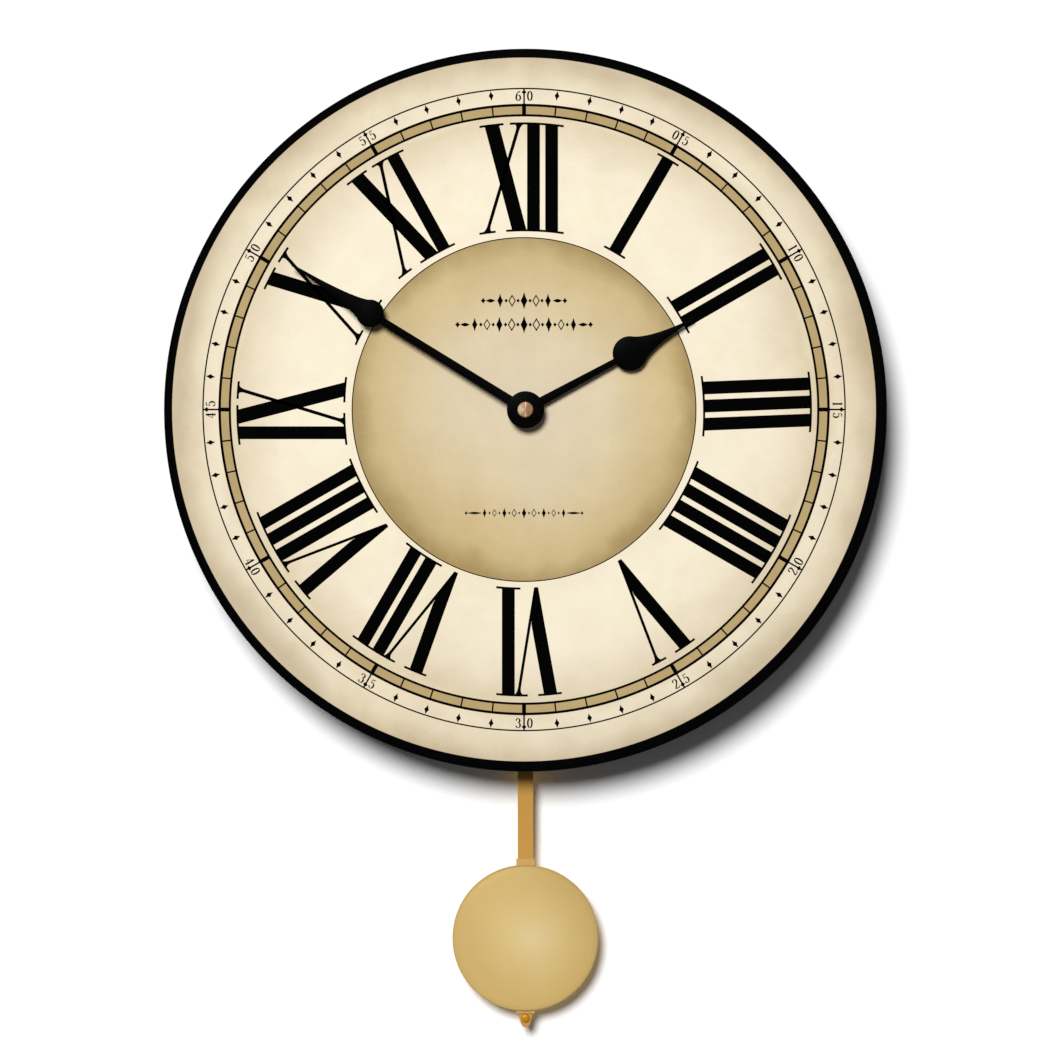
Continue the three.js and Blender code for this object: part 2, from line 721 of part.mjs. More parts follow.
function addHanger() {
  const wallLegBack = 0.3;
  const wallLegFront = wallLegBack + hangerThickness;
  const shelf = caseTop + seatGap;
  const top = nailAboveCentre + 7;
  const shelfTop = shelf + hangerThickness;
  const foot = -11;
  const profile = polygon([[wallLegBack, top], [wallLegBack, shelf], [hangerFrontBack, shelf],
    [hangerFrontBack, foot], [hangerFrontFace, foot], [hangerFrontFace, shelfTop], [wallLegFront, shelfTop],
    [wallLegFront, top]]);
  const seat = nailAboveCentre;
  const wide = 5.5;
  const narrow = nailSlotHalfWidth;
  const slot = polygon([[-wide, seat - 9], [wide, seat - 9], [wide, seat - 5.5], [narrow + 0.5, seat - 2.4],
    [narrow, seat], [-narrow, seat], [-narrow - 0.5, seat - 2.4], [-wide, seat - 5.5]]);
  const corner = 5;
  const trimCorner = (side) => plate(polygon([[side * hangerHalfWidth, top - corner],
    [side * (hangerHalfWidth + 1), top - corner], [side * (hangerHalfWidth + 1), top + 1],
    [side * (hangerHalfWidth - corner), top + 1], [side * (hangerHalfWidth - corner), top]]), -1, 4);
  add(
    "hanger_bracket",
    cut(
      strip(profile, -hangerHalfWidth, hangerHalfWidth),
      plate(slot, -1, 6),
      rod(bushingRadius + clearance, hangerFrontBack - 1, hangerFrontFace + 1, 0, 0, 24),
      trimCorner(1),
      trimCorner(-1),
    ),
    steel,
  );
}

// ---------------------------------------------------------------- dial disc
function roundedRim(radius, back, front, backRound, frontRound, steps) {
  const points = [];
  for (let i = 0; i <= steps; i++) {
    const angle = ((i / steps) * Math.PI) / 2;
    points.push([radius - backRound * (1 - Math.sin(angle)), back + backRound * (1 - Math.cos(angle))]);
  }
  for (let i = 0; i <= steps; i++) {
    const angle = ((i / steps) * Math.PI) / 2;
    points.push([radius - frontRound * (1 - Math.cos(angle)), front - frontRound * (1 - Math.sin(angle))]);
  }
  return points;
}

function addDisc() {
  const segments = 80;
  const hole = bushingRadius + 0.6;
  add(
    "dial_board",
    turned(
      [[hole, discBack], ...roundedRim(discRadius, discBack, discFront, discBackRound, discFrontRound, 2),
        [hole, discFront], [hole, discBack]],
      0, 0, segments,
    ),
    black,
  );
  add(
    "printed_dial",
    cut(
      rod(discRadius - blackRim, sheetBack, sheetFront, -sheetLeft, sheetRaised, segments),
      rod(hole, sheetBack - 1, sheetFront + 1, 0, 0, 24),
    ),
    { color: 0xf3e6c8, roughness: 0.6, metalness: 0 },
  );
}

// ---------------------------------------------------------------- hands
// A spade hand pointing at 12: a hub, a tapering stem, a round spade and a long drawn-out point.
function handShape({ length, spadeCentre, spadeRadius, hubRadius, hubHalfStem, spadeHalfStem, waist }) {
  const shape = new THREE.Shape();
  const hubExit = Math.asin(hubHalfStem / hubRadius);
  const spadeEntry = Math.asin(spadeHalfStem / spadeRadius);
  const shoulder = 50 * degrees; // where the point leaves the round spade
  const tip = 0.6;
  const up = Math.PI / 2;
  shape.moveTo(hubRadius * Math.sin(hubExit), hubRadius * Math.cos(hubExit));
  shape.lineTo(spadeHalfStem, spadeCentre - spadeRadius * Math.cos(spadeEntry));
  shape.absarc(0, spadeCentre, spadeRadius, spadeEntry - up, up - shoulder);
  shape.quadraticCurveTo(waist.half, spadeCentre + waist.rise, tip, length);
  shape.lineTo(-tip, length);
  shape.quadraticCurveTo(-waist.half, spadeCentre + waist.rise, -spadeRadius * Math.sin(shoulder),
    spadeCentre + spadeRadius * Math.cos(shoulder));
  shape.absarc(0, spadeCentre, spadeRadius, up + shoulder, 3 * up - spadeEntry);
  shape.lineTo(-hubRadius * Math.sin(hubExit), hubRadius * Math.cos(hubExit));
  shape.absarc(0, 0, hubRadius, up + hubExit, up - hubExit + 2 * Math.PI);
  return shape;
}

function pointed(solid, angle) {
  return solid.rotate([0, angle, 0]);
}

function addHands() {
  const hourShape = handShape({ length: hourHandLength, spadeCentre: hourSpadeCentre,
    spadeRadius: hourSpadeRadius, hubRadius: hourHubRadius, hubHalfStem: 2.3, spadeHalfStem: 1.6,
    waist: { half: 1.9, rise: 14 } });
  const pipe = minuteArborRadius + clearance + pipeWall;
  const hourHand = joined(
    plate(hourShape, hourHandBack, hourHandBack + handThickness, 14),
    rod(pipe + 1.7, hourHandBack, hourPipeFront - 0.4, 0, 0, 24),
  );
  const hourBore = rod(pipe + clearance, hourHandBack - 1, hourPipeFront + 1, 0, 0, 24);
  add("hour_hand", pointed(cut(hourHand, hourBore), hourHandAngle), black);

  const minuteShape = handShape({ length: minuteHandLength, spadeCentre: minuteSpadeCentre,
    spadeRadius: minuteSpadeRadius, hubRadius: minuteHubRadius, hubHalfStem: 2.4, spadeHalfStem: 1.9,
    waist: { half: 1.7, rise: 15 } });
  const bore = minuteSeatRadius + 0.2;
  add("minute_hand", pointed(cut(plate(minuteShape, minuteHandBack, minuteHandFront, 14),
    rod(bore, minuteHandBack - 1, minuteHandFront + 1, 0, 0, 20)), minuteHandAngle), black);

  const nutFoot = minuteHandFront + seatGap;
  add(
    "hand_nut",
    turned([[bore, nutFoot], [4.1, nutFoot], [4.1, nutFoot + 1.5], [3.6, nutFoot + 2], [0, nutFoot + 2.6],
      [0, nutFoot + 1.9], [bore, nutFoot + 1.9], [bore, nutFoot]], 0, 0, 32),
    brass,
  );
}

// ---------------------------------------------------------------- pendulum
const hookZ = -86; // peg of the arm in the rod's keyhole
const pegRadius = 1.2;
const pegHeadRadius = 2.2;
const magnetZ = -64;

function addArm() {
  const armFront = armBack + armThickness;
  const pivotZ = -pivotBelowCentre;
  const barHalf = 3.5;
  const bar = roundedBox(-barHalf, barHalf, hookZ - 4, pivotZ, 2);
  add(
    "pendulum_arm",
    cut(
      joined(
        plate(bar, armBack, armFront, 3),
        rod(3.6, armBack - 1, armFront + 1.2, 0, pivotZ, 20),
        rod(4.6, armBack, armFront, 0, magnetZ, 20),
        rod(pegRadius, armFront - 0.5, rodFront + 1.1, 0, hookZ, 12),
        rod(pegHeadRadius, rodFront + clearance, rodFront + 1.1, 0, hookZ, 16),
      ),
      rod(pinBore, armBack - 2, armFront + 2, 0, pivotZ, 16),
    ),
    whitePlastic,
  );
  const magnetThickness = 2.5;
  add("arm_magnet", rod(3.5, armFront + seatGap, armFront + seatGap + magnetThickness, 0, magnetZ, 20), steel);
}

function addDriveCoil() {
  const back = armBack + armThickness + 3.6;
  const flange = 9.4;
  const core = 3.4;
  const foot = caseFrontWallBack - seatGap;
  const windingEnd = foot - 1.2;
  add(
    "drive_bobbin",
    cut(
      joined(
        rod(core, back, foot, 0, magnetZ, 20),
        rod(flange, back, back + 0.8, 0, magnetZ, 24),
        rod(flange, windingEnd + seatGap, foot, 0, magnetZ, 24),
      ),
      rod(core - 1, back - 1, foot + 1, 0, magnetZ, 16),
    ),
    whitePlastic,
  );
  add("drive_winding", ring(8.4, core + seatGap, back + 0.8 + seatGap, windingEnd, 0, magnetZ, 28), copper);
  const driveBoardFront = driveBoardBack + boardThickness;
  add("drive_circuit_board", block(12, 25, driveBoardBack, driveBoardFront, -76, -54), greenBoard);
  const transistorBack = driveBoardBack - 2.6;
  add("drive_transistor", block(15.5, 20, transistorBack, driveBoardBack - seatGap, -66, -61.5), black);
}

function addRod() {
  const half = rodWidth / 2;
  const headTop = hookZ + 4.5;
  const headHalf = half + 1.1;
  const headCorner = 2;
  const headBottom = hookZ - 9;
  const neckTop = hookZ - 14;
  const taperTop = rodTip + 8; // where the sides start to run in to the tip
  const noseTop = rodTip + 3.6;
  const noseHalf = 2.85;
  const outline = new THREE.Shape();
  outline.moveTo(-half, neckTop).lineTo(-half, taperTop).lineTo(-noseHalf, noseTop);
  outline.quadraticCurveTo(-noseHalf + 0.4, rodTip + 0.4, 0, rodTip);
  outline.quadraticCurveTo(noseHalf - 0.4, rodTip + 0.4, noseHalf, noseTop);
  outline.lineTo(half, taperTop).lineTo(half, neckTop).lineTo(headHalf, headBottom);
  outline.lineTo(headHalf, headTop - headCorner).lineTo(headHalf - headCorner, headTop);
  outline.lineTo(-headHalf + headCorner, headTop).lineTo(-headHalf, headTop - headCorner);
  outline.lineTo(-headHalf, headBottom);
  const through = (radius, z) => rod(radius, rodBack - 1, rodFront + 1, 0, z, 16);
  const neck = pegRadius + clearance;
  const keyhole = joined(
    through(neck, hookZ),
    block(-neck, neck, rodBack - 1, rodFront + 1, hookZ - 6, hookZ),
    through(pegHeadRadius + clearance, hookZ - 6),
  );
  const rivetHole = through(rivetShankRadius + clearance, rivetZ);
  add("pendulum_rod", cut(plate(outline, rodBack, rodFront), keyhole, rivetHole), brass);
  add(
    "stop_rivet",
    turned([[0, rodBack - 0.9], [rivetFootRadius, rodBack - 0.8], [rivetFootRadius, rodBack - seatGap],
      [rivetShankRadius, rodBack - seatGap], [rivetShankRadius, rodFront + seatGap],
      [rivetHeadRadius, rodFront + seatGap], [rivetHeadRadius - 0.1, rodFront + 0.6],
      [rivetHeadRadius - 0.8, rodFront + 1.1], [0, rodFront + 1.3]], 0, rivetZ, 20),
    brass,
  );
}

const rivetZ = rodTip + rivetAboveTip;
const guideTop = -bobBelowCentre + bobRadius + guideAboveBob;
const guideBottom = rivetZ + rivetHeadRadius + clearance;
const bobRimBack = guideBack - seatGap;
const bobRimFront = guideFront + 0.2;

function addBob() {
  const z = -bobBelowCentre;
  const guideHalf = rodWidth / 2 + clearance + guideWall;
  // The crown is a shallow bowl that starts inside the shoulder.
  const crownRadius = bobRadius - bobShoulder;
  const crownBack = bobRimFront + 0.9;
  const crownRise = bobDome - 2.4;
  const crown = (offset) => {
    const points = [];
    const steps = 4;
    for (let i = 0; i <= steps; i++) {
      const share = 1 - i / steps;
      points.push([crownRadius * share, crownBack + crownRise * (1 - share * share) - offset]);
    }
    return points;
  };
  const inner = bobRadius - bobSheet;
  const rim = [bobRadius, bobRimBack];
  const shell = turned([rim, [bobRadius, bobRimFront], ...crown(0), ...crown(bobSheet).reverse(),
    [inner, bobRimFront - 0.1], [inner, bobRimBack], rim], 0, z, 56);
  const passageHalf = guideHalf + clearance;
  const passageFront = guideFront + clearance;
  const reach = bobRadius + 20;
  const passage = block(-passageHalf, passageHalf, bobRimBack - 1, passageFront, z - reach, z + reach);
  add("bob_shell", cut(shell, passage), brass);
  const backFront = bobRimBack - seatGap;
  add("bob_back", rod(bobRadius - 0.1, backFront - bobSheet, backFront, 0, z, 56), brass);
  // The weight reaches out to where the bowl leaves it just enough room in front.
  const weightBack = guideFront + 0.25;
  const weightFront = weightBack + bobWeightThickness;
  const roomShare = (weightFront + 0.25 - (crownBack - bobSheet)) / crownRise;
  const weightRadius = crownRadius * Math.sqrt(1 - roomShare);
  add("bob_weight", rod(weightRadius, weightBack, weightFront, 0, z, 40), steel);

  const guide = block(-guideHalf, guideHalf, guideBack, guideFront, guideBottom, guideTop);
  const boreHalf = guideHalf - guideWall;
  const guideBore = block(-boreHalf, boreHalf, guideBack + guideWall, guideFront - guideWall,
    guideBottom - 1, guideTop + 1);
  add("bob_guide", cut(guide, guideBore), brass);
  addFrictionSpring(z);
}

// A bowed leaf behind the rod: its ends lie on the guide and its middle presses on the rod.
function addFrictionSpring(z) {
  const leaf = 0.22;
  const leafHalfWidth = 2.6;
  const halfLength = 13;
  const touchGap = 0.08;
  const foot = guideBack + guideWall + touchGap;
  const bow = rodBack - touchGap - foot - leaf;
  const shape = new THREE.Shape();
  shape.moveTo(foot, z - halfLength);
  shape.quadraticCurveTo(foot + 2 * bow, z, foot, z + halfLength);
  shape.lineTo(foot + leaf, z + halfLength);
  shape.quadraticCurveTo(foot + leaf + 2 * bow, z, foot + leaf, z - halfLength);
  add("friction_spring", strip(shape, -leafHalfWidth, leafHalfWidth, 8), steel);
}

addDisc();
addCase();
addTrainPlates();
addTrain();
addMotionWork();
addMotor();
addCircuitBoard();
addBattery();
addCentreFixing();
addHanger();
addHands();
addArm();
addDriveCoil();
addRod();
addBob();

export default root;
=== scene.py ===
import math
import bmesh
import bpy
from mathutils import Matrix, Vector


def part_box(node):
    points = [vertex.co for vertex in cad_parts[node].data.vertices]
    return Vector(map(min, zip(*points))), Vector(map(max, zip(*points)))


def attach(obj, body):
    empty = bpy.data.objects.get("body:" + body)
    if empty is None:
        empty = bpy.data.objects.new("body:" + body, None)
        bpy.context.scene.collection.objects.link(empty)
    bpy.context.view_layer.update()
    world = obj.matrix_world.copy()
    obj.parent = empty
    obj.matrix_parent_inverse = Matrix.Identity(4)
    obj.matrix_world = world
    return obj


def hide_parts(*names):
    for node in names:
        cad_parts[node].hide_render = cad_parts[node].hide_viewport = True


# A round pendulum wall clock: aged paper dial on a black board, spade hands, quartz movement behind,
# brass pendulum below. Metres, +Z up, the dial faces -Y and the wall is the plane y = 0.

mm = 0.001
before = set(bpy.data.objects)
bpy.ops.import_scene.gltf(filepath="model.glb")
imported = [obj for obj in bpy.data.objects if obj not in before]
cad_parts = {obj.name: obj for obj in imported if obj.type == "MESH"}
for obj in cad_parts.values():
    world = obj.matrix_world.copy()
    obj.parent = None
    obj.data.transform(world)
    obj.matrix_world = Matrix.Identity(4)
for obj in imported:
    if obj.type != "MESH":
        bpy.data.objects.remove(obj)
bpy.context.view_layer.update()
print("stage: frame loaded,", len(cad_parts), "nodes")

sheetLow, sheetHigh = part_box("printed_dial")
boardLow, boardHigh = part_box("dial_board")
dialFront = sheetLow.y
dialRadius = (sheetHigh.x - sheetLow.x) / 2
boardRadius = (boardHigh.x - boardLow.x) / 2
dialCentre = Vector((0, 0, (boardLow.z + boardHigh.z) / 2))
printCentre = Vector(((sheetLow.x + sheetHigh.x) / 2, 0, (sheetLow.z + sheetHigh.z) / 2))
dialAxis = (dialCentre.x, dialCentre.z)
fullTurn = 2 * math.pi


# Small tools for working on a piece.

def deselectAll():
    bpy.ops.object.select_all(action="DESELECT")


def pick(piece):
    deselectAll()
    piece.select_set(True)
    bpy.context.view_layer.objects.active = piece


def editOn(piece):
    pick(piece)
    bpy.ops.object.mode_set(mode="EDIT")
    bpy.ops.mesh.select_mode(type="VERT")


def editOff():
    bpy.ops.object.mode_set(mode="OBJECT")


def selectVerts(piece, wanted):
    mesh = bmesh.from_edit_mesh(piece.data)
    bpy.ops.mesh.select_all(action="DESELECT")
    for vert in mesh.verts:
        vert.select_set(wanted(vert.co))
    mesh.select_flush(True)
    bmesh.update_edit_mesh(piece.data)


def selectEdges(piece, wanted):
    bpy.ops.mesh.select_mode(type="EDGE")
    bpy.ops.mesh.select_all(action="DESELECT")
    mesh = bmesh.from_edit_mesh(piece.data)
    for edge in mesh.edges:
        edge.select_set(wanted(edge))
    bmesh.update_edit_mesh(piece.data)


def settle(piece):
    pick(piece)
    bpy.ops.object.transform_apply(location=True, rotation=True, scale=True)


def joinAll(pieces, name):
    deselectAll()
    for piece in pieces:
        piece.select_set(True)
    bpy.context.view_layer.objects.active = pieces[0]
    if len(pieces) > 1:
        bpy.ops.object.join()
    joined = bpy.context.object
    joined.name = name
    joined.data.name = name
    return joined


def applyModifier(piece, kind, **settings):
    pick(piece)
    modifier = piece.modifiers.new("step", kind)
    for key, value in settings.items():
        setattr(modifier, key, value)
    bpy.ops.object.modifier_apply(modifier=modifier.name)


def smooth(piece, angle=30):
    pick(piece)
    bpy.ops.object.shade_smooth_by_angle(angle=math.radians(angle))


def mergeAll(distance):
    bpy.ops.mesh.select_all(action="SELECT")
    bpy.ops.mesh.remove_doubles(threshold=distance)


def faceOut():
    # the last step of an edit
    bpy.ops.mesh.select_all(action="SELECT")
    bpy.ops.mesh.normals_make_consistent(inside=False)
    editOff()


def tidyNormals(piece):
    editOn(piece)
    mergeAll(1e-6)
    faceOut()


def planeRest(spare):
    # plane two metres wide in edit mode, without its spare vertices and with the rest selected
    deselectAll()
    bpy.ops.mesh.primitive_plane_add(size=2, location=(0, 0, 0))
    piece = bpy.context.object
    editOn(piece)
    selectVerts(piece, spare)
    bpy.ops.mesh.delete(type="VERT")
    bpy.ops.mesh.select_all(action="SELECT")
    return piece


def vertexStart(x, y, z):
    # one loose vertex, ready to be extruded
    piece = planeRest(lambda co: not (co.x > 0 and co.y > 0))
    bpy.ops.transform.translate(value=(x - 1, y - 1, z))
    return piece


def edgeStart(left, right, level):
    # one level edge, ready to be extruded into a flat strip
    piece = planeRest(lambda co: co.y > 0)
    bpy.ops.transform.resize(value=((right - left) / 2, 1, 1), center_override=(0, -1, 0))
    bpy.ops.transform.translate(value=((left + right) / 2, 1, level))
    return piece


def ladder(rungs):
    # flat strip through level rungs (level, left, right), from the bottom up
    level, left, right = rungs[0]
    piece = edgeStart(left, right, level)
    for nextLevel, nextLeft, nextRight in rungs[1:]:
        shift = ((nextLeft + nextRight - left - right) / 2, 0, nextLevel - level)
        bpy.ops.mesh.extrude_region_move(TRANSFORM_OT_translate={"value": shift})
        middle = ((nextLeft + nextRight) / 2, 0, nextLevel)
        stretch = (nextRight - nextLeft) / (right - left)
        bpy.ops.transform.resize(value=(stretch, 1, 1), center_override=middle)
        level, left, right = nextLevel, nextLeft, nextRight
    editOff()
    return piece


def penStroke(points, halfWidths):
    # flat strip that follows points (x, z), as wide across as a broad pen would leave it
    def heading(i):
        before, after = points[max(i - 1, 0)], points[min(i + 1, len(points) - 1)]
        return math.atan2(after[1] - before[1], after[0] - before[0])

    piece = edgeStart(points[0][0] - halfWidths[0], points[0][0] + halfWidths[0], points[0][1])
    angle = heading(0)
    bpy.ops.transform.rotate(value=angle - math.pi / 2, orient_axis="Y",
                             center_override=(points[0][0], 0, points[0][1]))
    for i in range(1, len(points)):
        (x, z), (lastX, lastZ) = points[i], points[i - 1]
        bpy.ops.mesh.extrude_region_move(TRANSFORM_OT_translate={"value": (x - lastX, 0, z - lastZ)})
        turn = heading(i) - angle
        turn = (turn + math.pi) % fullTurn - math.pi
        bpy.ops.transform.rotate(value=turn, orient_axis="Y", center_override=(x, 0, z))
        bpy.ops.transform.resize(value=[halfWidths[i] / halfWidths[i - 1]] * 3, center_override=(x, 0, z))
        angle = heading(i)
    editOff()
    return piece


def thicken(piece, back, front):
    # flat strip at y = 0 turned into a closed slab from back to front
    editOn(piece)
    mergeAll(1e-7)
    bpy.ops.transform.translate(value=(0, back, 0))
    bpy.ops.mesh.extrude_region_move(TRANSFORM_OT_translate={"value": (0, front - back, 0)})
    faceOut()
    return piece


def spun(profile, steps, centre=(0, 0)):
    # profile of (radius, y) turned about a line that runs front to back through centre (x, z)
    piece = vertexStart(centre[0] + profile[0][0], profile[0][1], centre[1])
    for (radius, y), (lastRadius, lastY) in zip(profile[1:], profile):
        step = (radius - lastRadius, y - lastY, 0)
        bpy.ops.mesh.extrude_vertices_move(TRANSFORM_OT_translate={"value": step})
    bpy.ops.mesh.select_all(action="SELECT")
    bpy.ops.mesh.spin(steps=steps, angle=fullTurn, center=(centre[0], 0, centre[1]), axis=(0, 1, 0))
    mergeAll(2e-6)
    faceOut()
    return piece


def ovalPath(across, up, halfAcross, halfUp, start, end, count):
    # points of an oval about (across, up), angles in degrees
    points = []
    for i in range(count + 1):
        angle = math.radians(start + (end - start) * i / count)
        points.append((across + halfAcross * math.cos(angle), up + halfUp * math.sin(angle)))
    return points


def arcPoints(radius, y, size, start, end, count):
    # points of a round in a spun profile
    return ovalPath(radius, y, size, size, start, end, count)


def moveTo(piece, place):
    piece.location = place
    settle(piece)


def turnBy(piece, degrees):
    # clockwise about the origin, as the reader sees it
    piece.rotation_euler = (0, math.radians(degrees), 0)
    settle(piece)


def copyOf(source):
    # copy with a mesh of its own
    copy = source.copy()
    copy.data = source.data.copy()
    bpy.context.collection.objects.link(copy)
    return copy


def turnedCopy(source, degrees):
    copy = copyOf(source)
    turnBy(copy, degrees)
    return copy


def discard(piece):
    bpy.data.objects.remove(piece, do_unlink=True)


def softened(node, width):
    # copy of a CAD node with its edges broken, to stand in its place
    piece = copyOf(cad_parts[node])
    piece.parent = None
    for key in list(piece.keys()):
        del piece[key]
    piece.name = node + "_finished"
    editOn(piece)
    mergeAll(2e-6)
    bpy.ops.mesh.dissolve_limited(angle_limit=math.radians(0.5))
    editOff()
    applyModifier(piece, "BEVEL", width=width, segments=2, limit_method="ANGLE",
                  angle_limit=math.radians(30), use_clamp_overlap=True)
    smooth(piece, 35)
    applyModifier(piece, "WEIGHTED_NORMAL", weight=100, keep_sharp=True)
    return piece


lightLevel = 1.06  # a white wall comes out at this brightness
white = (1, 1, 1, 1)


def printed(red, green, blue):
    # linear colour of a swatch given as screen values 0 to 255
    def linear(value):
        value /= 255
        return (value / 12.92 if value <= 0.04045 else ((value + 0.055) / 1.055) ** 2.4) / lightLevel
    return (linear(red), linear(green), linear(blue), 1)


def newFinish(name):
    material = bpy.data.materials.new(name)
    material.use_nodes = True
    tree = material.node_tree
    shader = tree.nodes["Principled BSDF"]
    return material, tree, shader


def addNode(tree, kind, **values):
    # a value is a setting of the node, an input's value, or a socket to link to an input
    node = tree.nodes.new(kind)
    for key, value in values.items():
        if isinstance(value, bpy.types.NodeSocket):
            tree.links.new(value, node.inputs[key])
        elif key in node.inputs:
            node.inputs[key].default_value = value
        else:
            setattr(node, key, value)
    return node


def mappedPlace(tree, centre=(0, 0, 0), stretch=(1, 1, 1)):
    # object coordinates counted from centre, stretched along each axis
    place = addNode(tree, "ShaderNodeTexCoord")
    shift = [-c * s for c, s in zip(centre, stretch)]
    mapping = addNode(tree, "ShaderNodeMapping", Vector=place.outputs["Object"],
                      Location=shift, Scale=stretch)
    return mapping.outputs["Vector"]


def noise(vector, scale, detail=4.0, roughness=0.55):
    node = addNode(vector.id_data, "ShaderNodeTexNoise", Vector=vector, Scale=scale, Detail=detail,
                   Roughness=roughness)
    return node.outputs["Fac"]


def ramp(factor, stops):
    node = addNode(factor.id_data, "ShaderNodeValToRGB", Fac=factor)
    elements = node.color_ramp.elements
    while len(elements) < len(stops):
        elements.new(0.5)
    for element, (position, colour) in zip(elements, stops):
        element.position = position
        element.color = colour
    return node.outputs["Color"]


def printedRamp(factor, *stops):
    # ramp with its stops given as (position, red, green, blue) in screen values
    return ramp(factor, [(stop[0], printed(*stop[1:])) for stop in stops])


def spread(factor, low, high, newLow, newHigh):
    limits = {"From Min": low, "From Max": high, "To Min": newLow, "To Max": newHigh}
    return addNode(factor.id_data, "ShaderNodeMapRange", Value=factor, **limits).outputs["Result"]


def blended(first, second, factor, mode="MIX"):
    tree = first.id_data
    node = addNode(tree, "ShaderNodeMix", data_type="RGBA", blend_type=mode)
    for socket, value in ((node.inputs[6], first), (node.inputs[7], second)):
        if isinstance(value, tuple):
            socket.default_value = value
        else:
            tree.links.new(value, socket)
    if isinstance(factor, float):
        node.inputs[0].default_value = factor
    else:
        tree.links.new(factor, node.inputs[0])
    return node.outputs[2]


def darkened(colour, factor, dark, strength, start=0.3, end=0.7):
    # colour taken down towards dark where factor is low
    shade = ramp(factor, [(start, dark), (end, white)])
    return blended(colour, shade, strength, "MULTIPLY")


def roughened(shader, height, strength, distance):
    tree = shader.id_data
    bump = addNode(tree, "ShaderNodeBump", Height=height, Strength=strength, Distance=distance)
    tree.links.new(bump.outputs["Normal"], shader.inputs["Normal"])


def coated(shader, colour, roughness, metallic=0.0, specular=0.5):
    tree = shader.id_data
    tree.links.new(colour, shader.inputs["Base Color"])
    tree.links.new(roughness, shader.inputs["Roughness"])
    shader.inputs["Metallic"].default_value = metallic
    shader.inputs["Specular IOR Level"].default_value = specular


def vectorStep(operation, vector, other=None):
    tree = vector.id_data
    node = addNode(tree, "ShaderNodeVectorMath", operation=operation)
    tree.links.new(vector, node.inputs[0])
    if other:
        node.inputs[1].default_value = other
    return node.outputs["Value" if operation in ("LENGTH", "DOT_PRODUCT") else "Vector"]


def flatPlace(tree, centre):
    # object coordinates counted from centre and pressed flat onto the dial's plane
    return vectorStep("MULTIPLY", mappedPlace(tree, centre), (1, 0, 1))


def shareOut(distance, cloud, inward, outward, radius):
    # share of the way out to radius, with bounds that wander in and out as the cloud does
    tree = distance.id_data
    aged = addNode(tree, "ShaderNodeMath", operation="ADD")
    tree.links.new(distance, aged.inputs[0])
    tree.links.new(spread(cloud, 0.3, 0.7, inward, outward), aged.inputs[1])
    return spread(aged.outputs["Value"], 0, radius, 0, 1)


paperTone = {  # screen values of the aged print, from the middle outwards
    "centre": (227, 212, 185), "centreMid": (225, 208, 174), "centreOuter": (214, 192, 146),
    "rimLight": (207, 185, 137), "rimShade": (192, 169, 120), "rimDark": (173, 149, 100),
    "band": (251, 241, 215), "bandMid": (249, 238, 213), "bandOuter": (240, 226, 200),
    "bandShade": (227, 212, 181), "margin": (243, 229, 203), "marginMid": (234, 220, 192),
    "marginEdge": (207, 190, 160), "stain": (226, 205, 165), "pale": (255, 246, 225),
}


def agedPaper():
    material, tree, shader = newFinish("agedPaper")
    flat = flatPlace(tree, printCentre)
    distance = vectorStep("LENGTH", flat)
    cloud = noise(flat, 14, 5, 0.6)
    share = shareOut(distance, cloud, -7 * mm, 6 * mm, dialRadius)
    tone = {key: printed(*value) for key, value in paperTone.items()}

    def at(radius):
        return radius * mm / dialRadius

    inner = ramp(share, [
        (0, tone["centre"]), (at(42), tone["centreMid"]), (at(70), tone["centreOuter"]),
        (at(79), tone["rimLight"]), (at(84.5), tone["rimShade"]), (at(90), tone["rimDark"])])
    outer = ramp(share, [
        (at(92), tone["bandMid"]), (at(104), tone["band"]), (at(128), tone["bandMid"]),
        (at(141), tone["bandOuter"]), (at(153), tone["bandShade"]), (at(163), tone["margin"]),
        (at(173), tone["marginMid"]), (at(184), tone["marginEdge"])])
    # the centre disc is darker than the band round it, and its edge is sharp
    step = addNode(tree, "ShaderNodeMath", operation="GREATER_THAN")
    step.inputs[1].default_value = at(90.6)
    tree.links.new(spread(distance, 0, dialRadius, 0, 1), step.inputs[0])
    colour = blended(inner, outer, step.outputs["Value"])
    stains = spread(noise(flat, 9, 6, 0.65), 0.52, 0.78, 0, 0.35)
    colour = blended(colour, tone["stain"], stains, "MULTIPLY")
    paleSpots = spread(noise(flat, 22, 4, 0.6), 0.5, 0.8, 0, 0.3)
    colour = blended(colour, tone["pale"], paleSpots, "SOFT_LIGHT")
    mottle = noise(flat, 38, 7, 0.68)
    colour = darkened(colour, mottle, (0.945, 0.936, 0.915, 1), 0.9, 0.36, 0.62)
    grain = noise(flat, 900, 3, 0.6)
    colour = darkened(colour, grain, (0.93, 0.93, 0.92, 1), 0.5)
    coated(shader, colour, spread(cloud, 0.2, 0.8, 0.5, 0.62), specular=0.08)
    roughened(shader, grain, 0.12, 0.02 * mm)
    return material


def plainInk(name, colour, spot):
    material, tree, shader = newFinish(name)
    place = mappedPlace(tree)
    tint = ramp(noise(place, 60, 4), [(0.3, colour), (0.75, spot)])
    dull = spread(noise(place, 300, 3), 0.3, 0.7, 0.5, 0.6)
    coated(shader, tint, dull, specular=0.004)
    roughened(shader, noise(place, 900, 2), 0.08, 0.02 * mm)
    return material


def blackPaint(name, roughness, specular, peel):
    material, tree, shader = newFinish(name)
    place = mappedPlace(tree)
    tint = ramp(noise(place, 25, 5),
                [(0.3, (0.0008, 0.0008, 0.0008, 1)), (0.8, (0.0018, 0.0018, 0.0018, 1))])
    dull = spread(noise(place, 120, 4), 0.3, 0.7, roughness - 0.05, roughness + 0.06)
    coated(shader, tint, dull, specular=specular)
    roughened(shader, noise(place, 450, 2, 0.4), 0.25, peel)
    return material


